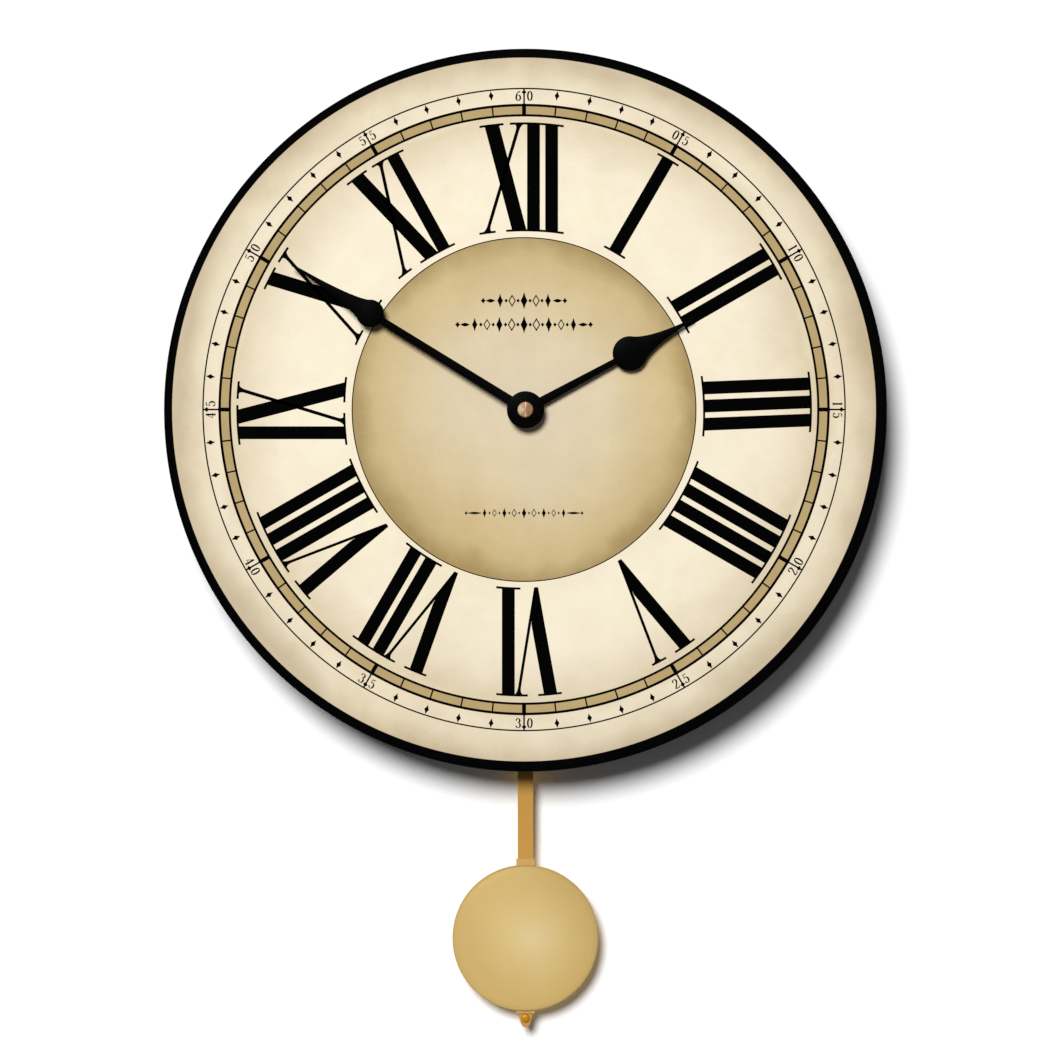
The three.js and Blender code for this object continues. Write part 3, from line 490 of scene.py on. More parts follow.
def brushedBrass(name, colour, shade, roughness, stretch, metallic):
    # brass drawn along one axis: the brush lines are long where stretch is small
    material, tree, shader = newFinish(name)
    lines = noise(mappedPlace(tree, stretch=stretch), 1.0, 3, 0.6)
    cloud = noise(mappedPlace(tree), 30, 4)
    tint = ramp(cloud, [(0.3, shade), (0.7, colour)])
    tint = darkened(tint, lines, (0.93, 0.93, 0.92, 1), 0.7, 0.25, 0.75)
    dull = spread(lines, 0.2, 0.8, roughness - 0.06, roughness + 0.08)
    coated(shader, tint, dull, metallic, 0.1)
    roughened(shader, lines, 0.15, 0.02 * mm)
    return material


paintedDomeHighlight = {"crown": (4 * mm, 0, -1 * mm), "wander": 3 * mm}  # centre of the painted highlight, its palest point, counted from the bob's centre


def domeBrass(centre, radius):
    # satin brass with a painted highlight, palest over the crown and deeper towards the rim, and painted
    # shade that darkens the top a little
    material, tree, shader = newFinish("domeBrass")
    flat = flatPlace(tree, centre + Vector(paintedDomeHighlight["crown"]))
    cloud = noise(flat, 40, 4, 0.6)
    share = shareOut(vectorStep("LENGTH", flat), cloud, -paintedDomeHighlight["wander"], paintedDomeHighlight["wander"], radius)
    # painted highlight: the tint is palest at the highlight's centre and darker out towards the rim
    tint = printedRamp(share, (0, 229, 205, 153), (0.3, 222, 195, 134), (0.6, 215, 185, 120),
                       (0.8, 210, 179, 112), (1, 208, 176, 108))
    # painted shade: the brass is made a little darker towards the top of the bob
    height = spread(vectorStep("DOT_PRODUCT", flat, (-0.1, 0, 0.99)), -radius, radius, 0, 1)
    paintedTopShade = ramp(height, [(0, white), (1, (0.8, 0.8, 0.79, 1))])
    grain = noise(mappedPlace(tree, centre), 1400, 2, 0.5)
    coated(shader, blended(tint, paintedTopShade, 1.0, "MULTIPLY"),
           spread(grain, 0.3, 0.7, 0.42, 0.54), 0.06, 0.1)
    roughened(shader, grain, 0.1, 0.02 * mm)
    return material


def turnedBrass(centre):
    # lathe-cut brass: fine rings about the axis of the hands
    material, tree, shader = newFinish("turnedBrass")
    flat = flatPlace(tree, centre)
    wave = addNode(tree, "ShaderNodeTexWave", wave_type="RINGS", rings_direction="SPHERICAL",
                   Vector=flat, Scale=900, Distortion=0.4)
    rings = wave.outputs["Fac"]
    # painted sheen of a faced-off end: a bright line up and down and a paler left edge, with painted shade
    # that is deeper to the right
    side = vectorStep("DOT_PRODUCT", vectorStep("NORMALIZE", flat), (1, 0, 0))
    tint = printedRamp(spread(side, -1, 1, 0, 1),
                       (0, 196, 170, 136), (0.22, 160, 126, 92), (0.42, 166, 128, 92), (0.5, 232, 190, 144),
                       (0.58, 164, 126, 90), (0.8, 136, 104, 74), (1, 146, 114, 80))
    tint = darkened(tint, rings, (0.93, 0.92, 0.9, 1), 0.8, 0.2, 0.8)
    coated(shader, tint, spread(rings, 0, 1, 0.42, 0.5), 0.12, 0.15)
    roughened(shader, rings, 0.3, 0.02 * mm)
    return material


def mouldedPlastic(name, colour, shade, roughness=0.5, grainSize=0.03 * mm):
    material, tree, shader = newFinish(name)
    place = mappedPlace(tree)
    tint = ramp(noise(place, 35, 4), [(0.3, shade), (0.7, colour)])
    grain = noise(place, 1600, 3, 0.6)
    coated(shader, tint, spread(grain, 0.3, 0.7, roughness - 0.06, roughness + 0.06))
    roughened(shader, grain, 0.35, grainSize)
    return material


def platedSteel(name, colour, shade, roughness, stretch):
    material, tree, shader = newFinish(name)
    lines = noise(mappedPlace(tree, stretch=stretch), 1.0, 4, 0.6)
    spangle = addNode(tree, "ShaderNodeTexVoronoi", Vector=mappedPlace(tree), Scale=260)
    tint = ramp(spangle.outputs["Distance"], [(0.1, colour), (0.9, shade)])
    coated(shader, tint, spread(lines, 0.25, 0.75, roughness - 0.08, roughness + 0.1), 1.0)
    roughened(shader, lines, 0.12, 0.02 * mm)
    return material


def woundCopper(name, centre, direction):
    # enamelled wire laid side by side: the waves run along the winding's axis
    material, tree, shader = newFinish(name)
    wave = addNode(tree, "ShaderNodeTexWave", wave_type="BANDS", bands_direction=direction,
                   Vector=mappedPlace(tree, centre), Scale=1400, Distortion=0.8, Detail=1)
    turns = wave.outputs["Fac"]
    # painted shade: the copper is darker in the grooves between turns, where the bump is low, and paler along
    # the turns
    tint = printedRamp(turns, (0.1, 120, 60, 28), (0.6, 205, 120, 66))
    coated(shader, tint, spread(turns, 0, 1, 0.45, 0.28), 0.9)
    roughened(shader, turns, 0.6, 0.05 * mm)
    return material


def circuitLaminate():
    material, tree, shader = newFinish("circuitLaminate")
    place = mappedPlace(tree)
    cells = addNode(tree, "ShaderNodeTexBrick", Vector=place, Scale=120)
    cells.inputs["Mortar Size"].default_value = 0.03
    tracks = cells.outputs["Fac"]
    tint = printedRamp(tracks, (0.4, 22, 92, 50), (0.6, 40, 128, 72))
    tint = darkened(tint, noise(place, 80, 4), (0.8, 0.8, 0.8, 1), 0.8)
    coated(shader, tint, spread(tracks, 0, 1, 0.3, 0.4))
    roughened(shader, tracks, 0.4, 0.04 * mm)
    return material


def cellSleeve():
    # printed foil sleeve: dark body with a copper-coloured band at the nub's end
    material, tree, shader = newFinish("cellSleeve")
    low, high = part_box("battery_cell")
    place = mappedPlace(tree, low)
    apart = addNode(tree, "ShaderNodeSeparateXYZ", Vector=place)
    share = spread(apart.outputs["X"], 0, high.x - low.x, 0, 1)
    foil = printedRamp(share, (0.012, 170, 172, 174), (0.02, 30, 34, 42), (0.70, 30, 34, 42),
                       (0.705, 190, 120, 60), (0.955, 196, 128, 66), (0.965, 176, 178, 180))
    foil = darkened(foil, noise(place, 140, 5), (0.88, 0.88, 0.88, 1), 0.7, 0.35, 0.65)
    coated(shader, foil, spread(noise(place, 200, 3), 0.3, 0.7, 0.28, 0.4), 0.6)
    roughened(shader, noise(place, 500, 2), 0.1, 0.02 * mm)
    return material


bobLow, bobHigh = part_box("bob_shell")
bobRadius = (bobHigh.x - bobLow.x) / 2
bobCentre = Vector((0, 0, (bobLow.z + bobHigh.z) / 2))
coilLow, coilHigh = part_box("motor_coil_winding")
driveLow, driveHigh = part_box("drive_winding")

finish = {
    "paper": agedPaper(),
    "ink": plainInk("printInk", (0.0006, 0.0006, 0.0006, 1), (0.0012, 0.0011, 0.001, 1)),
    "tan": plainInk("tanInk", printed(190, 167, 120), printed(180, 156, 108)),
    "board": blackPaint("boardPaint", 0.5, 0.004, 0.05 * mm),
    "hand": blackPaint("handPaint", 0.38, 0.008, 0.03 * mm),
    "dome": domeBrass(bobCentre, bobRadius),
    "rod": brushedBrass("rodBrass", printed(194, 147, 69), printed(186, 138, 62), 0.48,
                        (900, 900, 14), 0.05),
    "sleeve": brushedBrass("sleeveBrass", printed(198, 161, 96), printed(190, 152, 85), 0.45,
                           (2500, 900, 20), 0.08),
    "amber": brushedBrass("amberBrass", printed(192, 132, 24), printed(176, 114, 14), 0.38,
                          (900, 900, 900), 0.2),
    "turned": turnedBrass(dialCentre),
    "case": mouldedPlastic("casePlastic", (0.012, 0.012, 0.013, 1), (0.02, 0.02, 0.021, 1), 0.5),
    "nylon": mouldedPlastic("whiteNylon", printed(232, 228, 216), printed(222, 217, 202), 0.42),
    "acetal": mouldedPlastic("naturalAcetal", printed(222, 210, 176), printed(208, 194, 156), 0.4),
    "zinc": platedSteel("zincSteel", printed(196, 197, 196), printed(166, 168, 170), 0.38, (60, 60, 1500)),
    "nickel": platedSteel("nickelSteel", printed(206, 203, 196), printed(180, 177, 170), 0.26,
                          (900, 60, 900)),
    "ferrite": mouldedPlastic("sinteredFerrite", printed(58, 58, 60), printed(44, 44, 46), 0.55, 0.06 * mm),
    "motorCopper": woundCopper("motorCopper", (coilLow + coilHigh) / 2, "X"),
    "driveCopper": woundCopper("driveCopper", (driveLow + driveHigh) / 2, "Y"),
    "laminate": circuitLaminate(),
    "resin": mouldedPlastic("chipResin", printed(24, 24, 26), printed(16, 16, 17), 0.35),
    "sleeveFoil": cellSleeve(),
    "rubber": mouldedPlastic("gasketRubber", printed(30, 30, 30), printed(22, 22, 22), 0.7, 0.08 * mm),
}
print("stage: finishes made,", len(finish))


def dress(piece, key):
    piece.data.materials.clear()
    piece.data.materials.append(finish[key])


def install(piece, key, body, slot, *nodes):
    dress(piece, key)
    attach(piece, body)
    if nodes:
        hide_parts(*nodes)


def complete(piece, name, angle, key, body, slot, *nodes):
    piece.name = name
    smooth(piece, angle)
    install(piece, key, body, slot, *nodes)


board = {
    "backRound": 1.2 * mm,
    "frontRound": 2.4 * mm,
    "hole": 4.5 * mm,
    "steps": 256,
    "roundSteps": 8,
}


def makeBoard():
    back, front = boardHigh.y, boardLow.y
    profile = [(board["hole"], back)]
    profile += arcPoints(boardRadius - board["backRound"], back - board["backRound"], board["backRound"],
                         90, 0, board["roundSteps"])
    profile += arcPoints(boardRadius - board["frontRound"], front + board["frontRound"],
                         board["frontRound"], 0, -90, board["roundSteps"])
    profile += [(board["hole"], front), (board["hole"], back)]
    piece = spun(profile, board["steps"], dialAxis)
    complete(piece, "backBoard", 25, "board", "clock_case", "painted board", "dial_board")


paper = {"edgeRound": 0.2 * mm, "steps": 256}


def makePaper():
    back, front = sheetHigh.y, sheetLow.y
    edge = paper["edgeRound"]
    profile = [(board["hole"], back), (dialRadius, back)]
    profile += arcPoints(dialRadius - edge, front + edge, edge, 0, -90, 4)
    profile += [(board["hole"], front), (board["hole"], back)]
    piece = spun(profile, paper["steps"], (printCentre.x, printCentre.z))
    editOn(piece)
    bore = board["hole"] + 0.1 * mm
    selectVerts(piece, lambda co: math.hypot(co.x - printCentre.x, co.z - printCentre.z) < bore)
    bpy.ops.transform.translate(value=dialCentre - printCentre)
    editOff()
    complete(piece, "dialPaper", 25, "paper", "clock_case", "dial print", "printed_dial")


makeBoard()
makePaper()
print("stage: board and paper")


# The print is drawn about the origin and then set on the paper.
inkDepth = 0.04 * mm
inkRoot = 0.02 * mm  # how far the ink reaches into the paper


def placePrint(piece, name, key):
    piece.name = name
    piece.data.name = name
    moveTo(piece, printCentre)
    install(piece, key, "clock_case", "dial print")


def inked(piece, lift=0.0):
    return thicken(piece, dialFront + inkRoot, dialFront - inkDepth - lift)


def printRing(inner, outer, lift=0.0):
    back, front = dialFront + inkRoot, dialFront - inkDepth - lift
    return spun([(inner, back), (outer, back), (outer, front), (inner, front), (inner, back)], paper["steps"])


minuteTrack = {
    "centreDisc": 90.5 * mm,
    "centreLine": 0.55 * mm,
    "innerLine": (154.3 * mm, 155.5 * mm),
    "outerLine": (159.6 * mm, 160.95 * mm),
    "thinCircle": (168.65 * mm, 169.4 * mm),
    "tickWidth": 0.8 * mm,
    "hourBlockWidth": 2.1 * mm,
    "pointerWidth": 0.85 * mm,
    "diamondRadius": 166.0 * mm,
    "diamondHalf": (1.3 * mm, 2.5 * mm),
    "arrowHalf": (1.35 * mm, 1.6 * mm),
    "arrowRadius": 167.1 * mm,
}


def bar(width, low, high):
    return ladder([(low, -width / 2, width / 2), (high, -width / 2, width / 2)])


sliver = 0.03 * mm  # width left at a printed point


def lozenge(centre, halfWidth, halfHeight):
    # upright lozenge with hollow sides
    rungs = []
    waist = halfWidth * 0.42
    for share, half in ((-1, sliver), (-0.45, waist), (0, halfWidth), (0.45, waist), (1, sliver)):
        rungs.append((centre + halfHeight * share, -half, half))
    return ladder(rungs)


def makeTrack():
    track = minuteTrack
    band = printRing(track["innerLine"][0], track["outerLine"][1], -0.02 * mm)
    placePrint(band, "trackBand", "tan")
    half = track["centreLine"] / 2
    rings = [printRing(track["centreDisc"] - half, track["centreDisc"] + half)]
    rings += [printRing(*track[line]) for line in ("innerLine", "outerLine", "thinCircle")]
    placePrint(joinAll(rings, "trackRings"), "trackRings", "ink")

    low, high = track["innerLine"][0] + 0.2 * mm, track["outerLine"][1] - 0.2 * mm
    tick = inked(bar(track["tickWidth"], low, high), -0.004 * mm)
    block = inked(bar(track["hourBlockWidth"], low - 0.1 * mm, high + 0.3 * mm), -0.002 * mm)
    pointer = inked(bar(track["pointerWidth"], high, track["thinCircle"][0] + 0.2 * mm), -0.006 * mm)
    diamond = inked(lozenge(track["diamondRadius"], *track["diamondHalf"]))
    arrow = inked(lozenge(track["arrowRadius"], *track["arrowHalf"]), 0.004 * mm)
    marks = []
    for minute in range(60):
        if minute % 5:
            marks += [turnedCopy(tick, minute * 6), turnedCopy(diamond, minute * 6)]
        else:
            marks += [turnedCopy(part, minute * 6) for part in (block, pointer, arrow)]
    for source in (tick, block, pointer, diamond, arrow):
        discard(source)
    placePrint(joinAll(marks, "minuteMarks"), "minuteMarks", "ink")


makeTrack()
print("stage: minute track")


# Roman numerals: upright strokes between two thin serifs that follow the dial's curve.
roman = {
    "top": 151.2 * mm,
    "height": 57.4 * mm,
    "serif": 1.15 * mm,
    "serifReach": 3.0 * mm,
    "stem": 6.75 * mm,
    "pitch": 9.55 * mm,
    "bend": 145 * mm,  # the serifs lie on this circle
    "thin": 1.5 * mm,
    "flare": 2.6 * mm,
}
letterV = {
    "width": 6.95 * mm, "apexLeft": 10.0 * mm, "apexRight": 12.1 * mm, "thinTop": 20.4 * mm,
    "join": 37.9 * mm, "thickSerif": 2.5 * mm, "thinSerif": (5 * mm, 3.4 * mm), "next": 22.3 * mm,
}
letterX = {
    "width": 7.6 * mm, "lean": 14.3 * mm, "thinTop": 18.2 * mm, "thinFoot": 1.4 * mm, "thin": 1.85 * mm,
    "headSerif": (2.8 * mm, 2.3 * mm), "footSerif": 2.8 * mm,
    "thinHeadSerif": (5 * mm, 4.2 * mm), "thinFootSerif": (4.2 * mm, 4.4 * mm),
    "closer": 1.5 * mm,  # how much nearer it stands to a letter before it
    "next": 22.3 * mm,
}
# hour: letters, left side of the first stroke, tilt in degrees and rise over the usual height
hours = {
    0: ("XII", -20.7, 0, 0), 1: ("I", -3.5, 0, 1.3), 2: ("II", -10.7, 0, 1.2),
    3: ("III", -10.9, -2.3, 0.4), 4: ("IIII", -19.2, 0, 0.2), 5: ("V", -14.9, 0, -0.1),
    6: ("VI", -17.4, 0, -0.1), 7: ("VII", -23.0, 0, -1.3), 8: ("VIII", -27.7, 0, -0.1),
    9: ("IX", -15.6, 0, 0.3), 10: ("X", -14.6, 1.5, 0.1), 11: ("XI", -21.9, 1.2, 0),
}


def serifBar(left, right, low):
    deselectAll()
    bpy.ops.mesh.primitive_grid_add(x_subdivisions=24, y_subdivisions=1, size=2, location=(0, 0, 0))
    piece = bpy.context.object
    piece.rotation_euler = (math.pi / 2, 0, 0)
    piece.scale = ((right - left) / 2, roman["serif"] / 2, 1)
    piece.location = ((left + right) / 2, 0, low + roman["serif"] / 2)
    settle(piece)
    return piece


def thinArm(foot, head, low, high):
    # hairline from foot to head that flares where it meets its serifs
    half, flare = letterX["thin"] / 2, roman["flare"]
    rungs = []
    ends = ((0, 1.0), (0.012, 0.45), (0.032, 0.1), (0.055, 0))
    for share, extra in ends + tuple((1 - share, extra) for share, extra in reversed(ends)):
        x = foot + (head - foot) * share
        rungs.append((low + (high - low) * share, x - half - extra * flare / 2, x + half + extra * flare / 2))
    return ladder(rungs)


def strokesI(x, footLine, headLine):
    right = x + roman["stem"]
    span = (x - roman["serifReach"], right + roman["serifReach"])
    return [ladder([(footLine, x, right), (headLine, x, right)])], [span], [span]


def strokesV(x, low, high, headLine):
    v, half = letterV, roman["thin"] / 2
    inward = v["apexLeft"] * v["join"] / roman["height"]
    thick = ladder([(low, x + v["apexLeft"], x + v["apexRight"]),
                    (high - v["join"], x + inward, x + inward + v["width"]),
                    (headLine, x, x + v["width"])])
    slope = (v["thinTop"] - v["apexRight"] + half) / (headLine - low)
    arm = [(low, x + v["apexRight"] - 2 * half, x + v["apexRight"])]
    for below, spill in ((4.0, 0), (2.2, 0.15), (0.9, 0.6), (0, 1.5)):
        middle = x + v["thinTop"] - slope * below * mm
        arm.append((headLine - below * mm, middle - half - spill * mm, middle + half + spill * 0.75 * mm))
    left, right = v["thinSerif"]
    heads = [(x - v["thickSerif"], x + v["width"] + roman["serifReach"]),
             (x + v["thinTop"] - left, x + v["thinTop"] + right)]
    return [thick, ladder(arm)], heads, []


def strokesX(x, footLine, headLine):
    cross = letterX
    foot, head = x + cross["thinFoot"], x + cross["thinTop"]
    left, right = x + cross["lean"], x + cross["lean"] + cross["width"]
    thick = ladder([(footLine, left, right), (headLine, x, x + cross["width"])])
    heads = [(x - cross["headSerif"][0], x + cross["width"] + cross["headSerif"][1]),
             (head - cross["thinHeadSerif"][0], head + cross["thinHeadSerif"][1])]
    feet = [(foot - cross["thinFootSerif"][0], foot + cross["thinFootSerif"][1]),
            (left - roman["serifReach"], right + cross["footSerif"])]
    return [thick, thinArm(foot, head, footLine, headLine)], heads, feet


def numeralStrokes(letters, left):
    # strokes of a numeral, and its serifs as spans (start, end) at the head and at the foot
    low, high = roman["top"] - roman["height"], roman["top"]
    footLine, headLine = low + roman["serif"] * 0.9, high - roman["serif"] * 0.9
    strokes, heads, feet = [], [], []
    x = left
    for letter in letters:
        if letter == "I":
            made, step = strokesI(x, footLine, headLine), roman["pitch"]
        elif letter == "V":
            made, step = strokesV(x, low, high, headLine), letterV["next"]
        else:
            x -= letterX["closer"] if x > left else 0
            made, step = strokesX(x, footLine, headLine), letterX["next"]
        strokes += made[0]
        heads += made[1]
        feet += made[2]
        x += step
    return strokes, mergedSpans(heads), mergedSpans(feet)


def mergedSpans(spans):
    merged = []
    for span in sorted(spans):
        if merged and span[0] <= merged[-1][1] + 0.3 * mm:
            merged[-1] = (merged[-1][0], max(span[1], merged[-1][1]))
        else:
            merged.append(span)
    return merged


def makeNumeral(hour):
    letters, left, tilt, rise = hours[hour]
    strokes, heads, feet = numeralStrokes(letters, left * mm)
    low = roman["top"] - roman["height"]
    for start, end in heads:
        strokes.append(serifBar(start, end, roman["top"] - roman["serif"]))
    for start, end in feet:
        strokes.append(serifBar(start, end, low))
    slabs = [inked(stroke) for stroke in strokes]
    piece = joinAll(slabs, "numeral")
    for vert in piece.data.vertices:
        vert.co.z += rise * mm - vert.co.x ** 2 / (2 * roman["bend"])
    turnBy(piece, hour * 30 + tilt)
    return piece


def makeNumerals():
    for hour in hours:
        piece = makeNumeral(hour)
        placePrint(piece, "numeral" + str(hour or 12), "ink")


makeNumerals()
print("stage: Roman numerals")


# Small minute numbers, written with a broad pen in a box one high and centred on zero.
digit = {"height": 5.2 * mm, "radius": 165.1 * mm, "apart": 3.05 * mm, "thick": 0.085, "thin": 0.03}


def penWidths(points, thick=None):
    # upright stretches are thick and level ones thin
    thick = thick or digit["thick"]
    widths = []
    for i in range(len(points)):
        before, after = points[max(i - 1, 0)], points[min(i + 1, len(points) - 1)]
        across, up = after[0] - before[0], after[1] - before[1]
        share = abs(up) / (math.hypot(across, up) or 1)
        widths.append(digit["thin"] + (thick - digit["thin"]) * share ** 2)
    return widths


def digitStrokes(number):
    thick, thin = digit["thick"], digit["thin"]
    dot = ovalPath(0, 0, 0.035, 0.035, 0, 330, 8)

    def ball(x, z):
        return ([(x + px, z + pz) for px, pz in dot], [0.036] * len(dot))

    def pen(points, weight=None):
        return (points, penWidths(points, weight))

    def even(width, *points):
        return (list(points), [width] * len(points))

    if number == 0:
        return [pen(ovalPath(0, 0, 0.21, 0.47, 90, 450, 28))]
    if number == 1:
        return [even(thick, (0.02, -0.48), (0.02, 0.48)), even(thin, (-0.15, -0.48), (0.19, -0.48)),
                even(thin, (-0.14, 0.36), (-0.04, 0.40), (0.02, 0.47))]
    if number == 2:
        bowl = ovalPath(-0.005, 0.26, 0.20, 0.22, 160, -20, 14)
        return [pen(bowl + [(0.10, 0.02), (-0.10, -0.25), (-0.20, -0.44)]), ball(-0.18, 0.27),
                ([(-0.21, -0.45), (0.0, -0.44), (0.20, -0.44)], [thin, 0.05, 0.05]),
                even(thin, (0.20, -0.44), (0.23, -0.27))]
    if number == 3:
        return [pen(ovalPath(-0.03, 0.26, 0.18, 0.21, 150, -90, 14)),
                pen(ovalPath(-0.03, -0.21, 0.22, 0.26, 90, -150, 16)),
                ball(-0.19, 0.31), ball(-0.21, -0.31)]
    if number == 4:
        return [even(thick, (0.08, -0.48), (0.08, 0.48)), even(thin, (0.08, 0.47), (-0.25, -0.20)),
                even(thin, (-0.26, -0.20), (0.25, -0.20)), even(thin, (-0.06, -0.48), (0.22, -0.48))]
    if number == 5:
        return [([(-0.14, 0.42), (0.0, 0.40), (0.19, 0.44)], [0.05, 0.045, 0.03]),
                even(thin, (-0.15, 0.44), (-0.15, 0.02)),
                pen(ovalPath(-0.02, -0.17, 0.22, 0.30, 130, -145, 18)), ball(-0.19, -0.31)]
    return [pen(ovalPath(0, -0.18, 0.21, 0.29, 90, 450, 24)),  # six
            pen([(-0.20, -0.15), (-0.19, 0.08), (-0.12, 0.28), (0.0, 0.42), (0.12, 0.47)], 0.06),
            ball(0.15, 0.38)]


def makeDigit(number):
    size = digit["height"]
    parts = []
    for lift, (points, widths) in enumerate(digitStrokes(number)):
        stroke = penStroke([(x * size, z * size) for x, z in points], [w * size for w in widths])
        parts.append(inked(stroke, lift * 0.003 * mm))
    return joinAll(parts, "digit")


def makeMinuteNumbers():
    digits = {number: makeDigit(number) for number in range(7)}
    placed = []
    for minute in range(0, 60, 5):
        upsideDown = 20 <= minute <= 40
        text = str(minute or 60).zfill(2)
        for side, character in zip((-1, 1), text):
            copy = turnedCopy(digits[int(character)], 180 if upsideDown else 0)
            moveTo(copy, (digit["apart"] * side * (-1 if upsideDown else 1), 0, digit["radius"]))
            turnBy(copy, minute * 6)
            placed.append(copy)
    for source in digits.values():
        discard(source)
    placePrint(joinAll(placed, "minuteNumbers"), "minuteNumbers", "ink")


makeMinuteNumbers()
print("stage: minute numbers")


# Plain printer's ornaments: bands of filled and open lozenges with beads, two above the hands' axis
# and one below.
ornament = {
    "rows": [
        {"level": 57.3 * mm, "reach": 21.5 * mm, "half": 4.5 * mm, "count": 5, "pitch": 6.3 * mm},
        {"level": 44.7 * mm, "reach": 35 * mm, "half": 4.6 * mm, "count": 9, "pitch": 6.5 * mm},
        {"level": -54.5 * mm, "reach": 30.5 * mm, "half": 3.0 * mm, "count": 9, "pitch": 5.2 * mm},
    ],
    "slim": 0.4,  # of a lozenge, width over height
    "bead": 0.26,  # of a bead, height over the lozenge's
    "stroke": 0.32,  # of an open lozenge, stroke over half height
}


def ornamentMark(x, level, half, slim):
    mark = lozenge(level, half * slim, half)
    moveTo(mark, (x, 0, 0))
    return inked(mark)


def openLozenge(x, level, half, slim, stroke):
    # right half as a strip that parts round the middle, and its mirror
    wide, clear = half * slim, 1 - stroke
    right = [(-half, 0, sliver), (-half * clear, 0, wide * stroke), (0, wide * clear, wide),
             (half * clear, 0, wide * stroke), (half, 0, sliver)]
    halves = [ladder([(level + z, x + near, x + far) for z, near, far in right]),
              ladder([(level + z, x - far, x - near) for z, near, far in right])]
    ring = joinAll(halves, "openLozenge")
    tidyNormals(ring)
    return inked(ring)


def swelledRule(start, end, level, swell):
    points, widths = [], []
    for i in range(13):
        share = i / 12
        points.append((start + (end - start) * share, level))
        widths.append(0.2 * mm + (swell / 2 - 0.2 * mm) * math.sin(math.pi * share) ** 1.5)
    return inked(penStroke(points, widths))


def makeOrnament():
    parts = []
    slim, bead = ornament["slim"], ornament["bead"]
    for row in ornament["rows"]:
        level, half, count, pitch = row["level"], row["half"], row["count"], row["pitch"]
        inner = pitch * (count - 1) / 2
        for i in range(count):
            x = -inner + pitch * i
            size = half * (1 - 0.3 * abs(x) / row["reach"])
            if i % 2:
                parts.append(openLozenge(x, level, size * 0.8, slim * 1.5, ornament["stroke"]))
            else:
                parts.append(ornamentMark(x, level, size, slim))
            if i:
                parts.append(ornamentMark(x - pitch / 2, level, half * bead, 0.8))
        near, far = inner + half * 0.6, row["reach"] - half * 0.35
        for side in (-1, 1):
            if far - near > half * 0.8:
                parts.append(swelledRule(side * near, side * far, level, half * 0.42))
            parts.append(ornamentMark(side * row["reach"], level, half * bead * 1.3, 0.85))
    placePrint(joinAll(parts, "printedOrnament"), "printedOrnament", "ink")


makeOrnament()
print("stage: ornament")


# angle clockwise from twelve, stem half widths at hub and ball, waist as half width and rise over the ball
hands = {
    "hour": {
        "angle": 61.6, "length": 100.6 * mm, "ball": 62.4 * mm, "ballRadius": 9.1 * mm,
        "hub": 8.6 * mm, "stem": (2.3 * mm, 1.6 * mm), "waist": (1.9 * mm, 14 * mm),
    },
    "minute": {
        "angle": -58.2, "length": 144.4 * mm, "ball": 96 * mm, "ballRadius": 7.3 * mm,
        "hub": 9.8 * mm, "stem": (2.4 * mm, 1.95 * mm), "waist": (1.7 * mm, 15 * mm),
    },
}
blade = {"thick": 1.0 * mm, "edge": 0.25 * mm, "hubSteps": 28, "ballSteps": 24, "tipSteps": 24}
collar = {"bore": 2.9 * mm, "radius": 4.2 * mm, "edge": 0.2 * mm, "belowTop": 0.9 * mm, "steps": 64}


def handRungs(hand):
    # half widths of the hand from the far side of its hub to its tip
    rungs = []
    hub, ball, ballRadius = hand["hub"], hand["ball"], hand["ballRadius"]
    stemStart, stemEnd = hand["stem"]
    exitAngle = math.asin(stemStart / hub)
    for i in range(blade["hubSteps"] + 1):
        angle = 3.0 + (180 - 3.0 - math.degrees(exitAngle)) * i / blade["hubSteps"]
        rungs.append((-hub * math.cos(math.radians(angle)), hub * math.sin(math.radians(angle))))
    entry = math.asin(stemEnd / ballRadius)
    shoulder = math.radians(50)
    for i in range(blade["ballSteps"] + 1):
        angle = entry + (math.pi - shoulder - entry) * i / blade["ballSteps"]
        rungs.append((ball - ballRadius * math.cos(angle), ballRadius * math.sin(angle)))
    start = (ball + ballRadius * math.cos(shoulder), ballRadius * math.sin(shoulder))
    bendHalf, bendRise = hand["waist"]
    bend = (ball + bendRise, bendHalf)
    tip = (hand["length"] - 0.4 * mm, 0.6 * mm)
    for i in range(1, blade["tipSteps"] + 1):
        t = i / blade["tipSteps"]
        level = (1 - t) ** 2 * start[0] + 2 * t * (1 - t) * bend[0] + t * t * tip[0]
        half = (1 - t) ** 2 * start[1] + 2 * t * (1 - t) * bend[1] + t * t * tip[1]
        rungs.append((level, half))
    rungs += [(hand["length"] - 0.12 * mm, 0.45 * mm), (hand["length"], 0.2 * mm)]
    return [(level, -half, half) for level, half in rungs]


def makeHand(name):
    hand = hands[name]
    low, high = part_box(name + "_hand")
    front = low.y if name == "minute" else high.y - blade["thick"]
    back = low.y + blade["thick"] if name == "minute" else high.y
    piece = thicken(ladder(handRungs(hand)), back, front)
    editOn(piece)
    selectEdges(piece, lambda edge: all(abs(v.co.y - front) < 1e-6 for v in edge.verts)
                and len(edge.link_faces) == 2 and edge.calc_face_angle(0) > 0.5)
    bpy.ops.mesh.bevel(offset=blade["edge"], segments=3, affect="EDGES")
    faceOut()
    piece.name = name + "HandBlade"
    turnBy(piece, hand["angle"])
    moveTo(piece, dialCentre)
    smooth(piece, 30)
    return piece


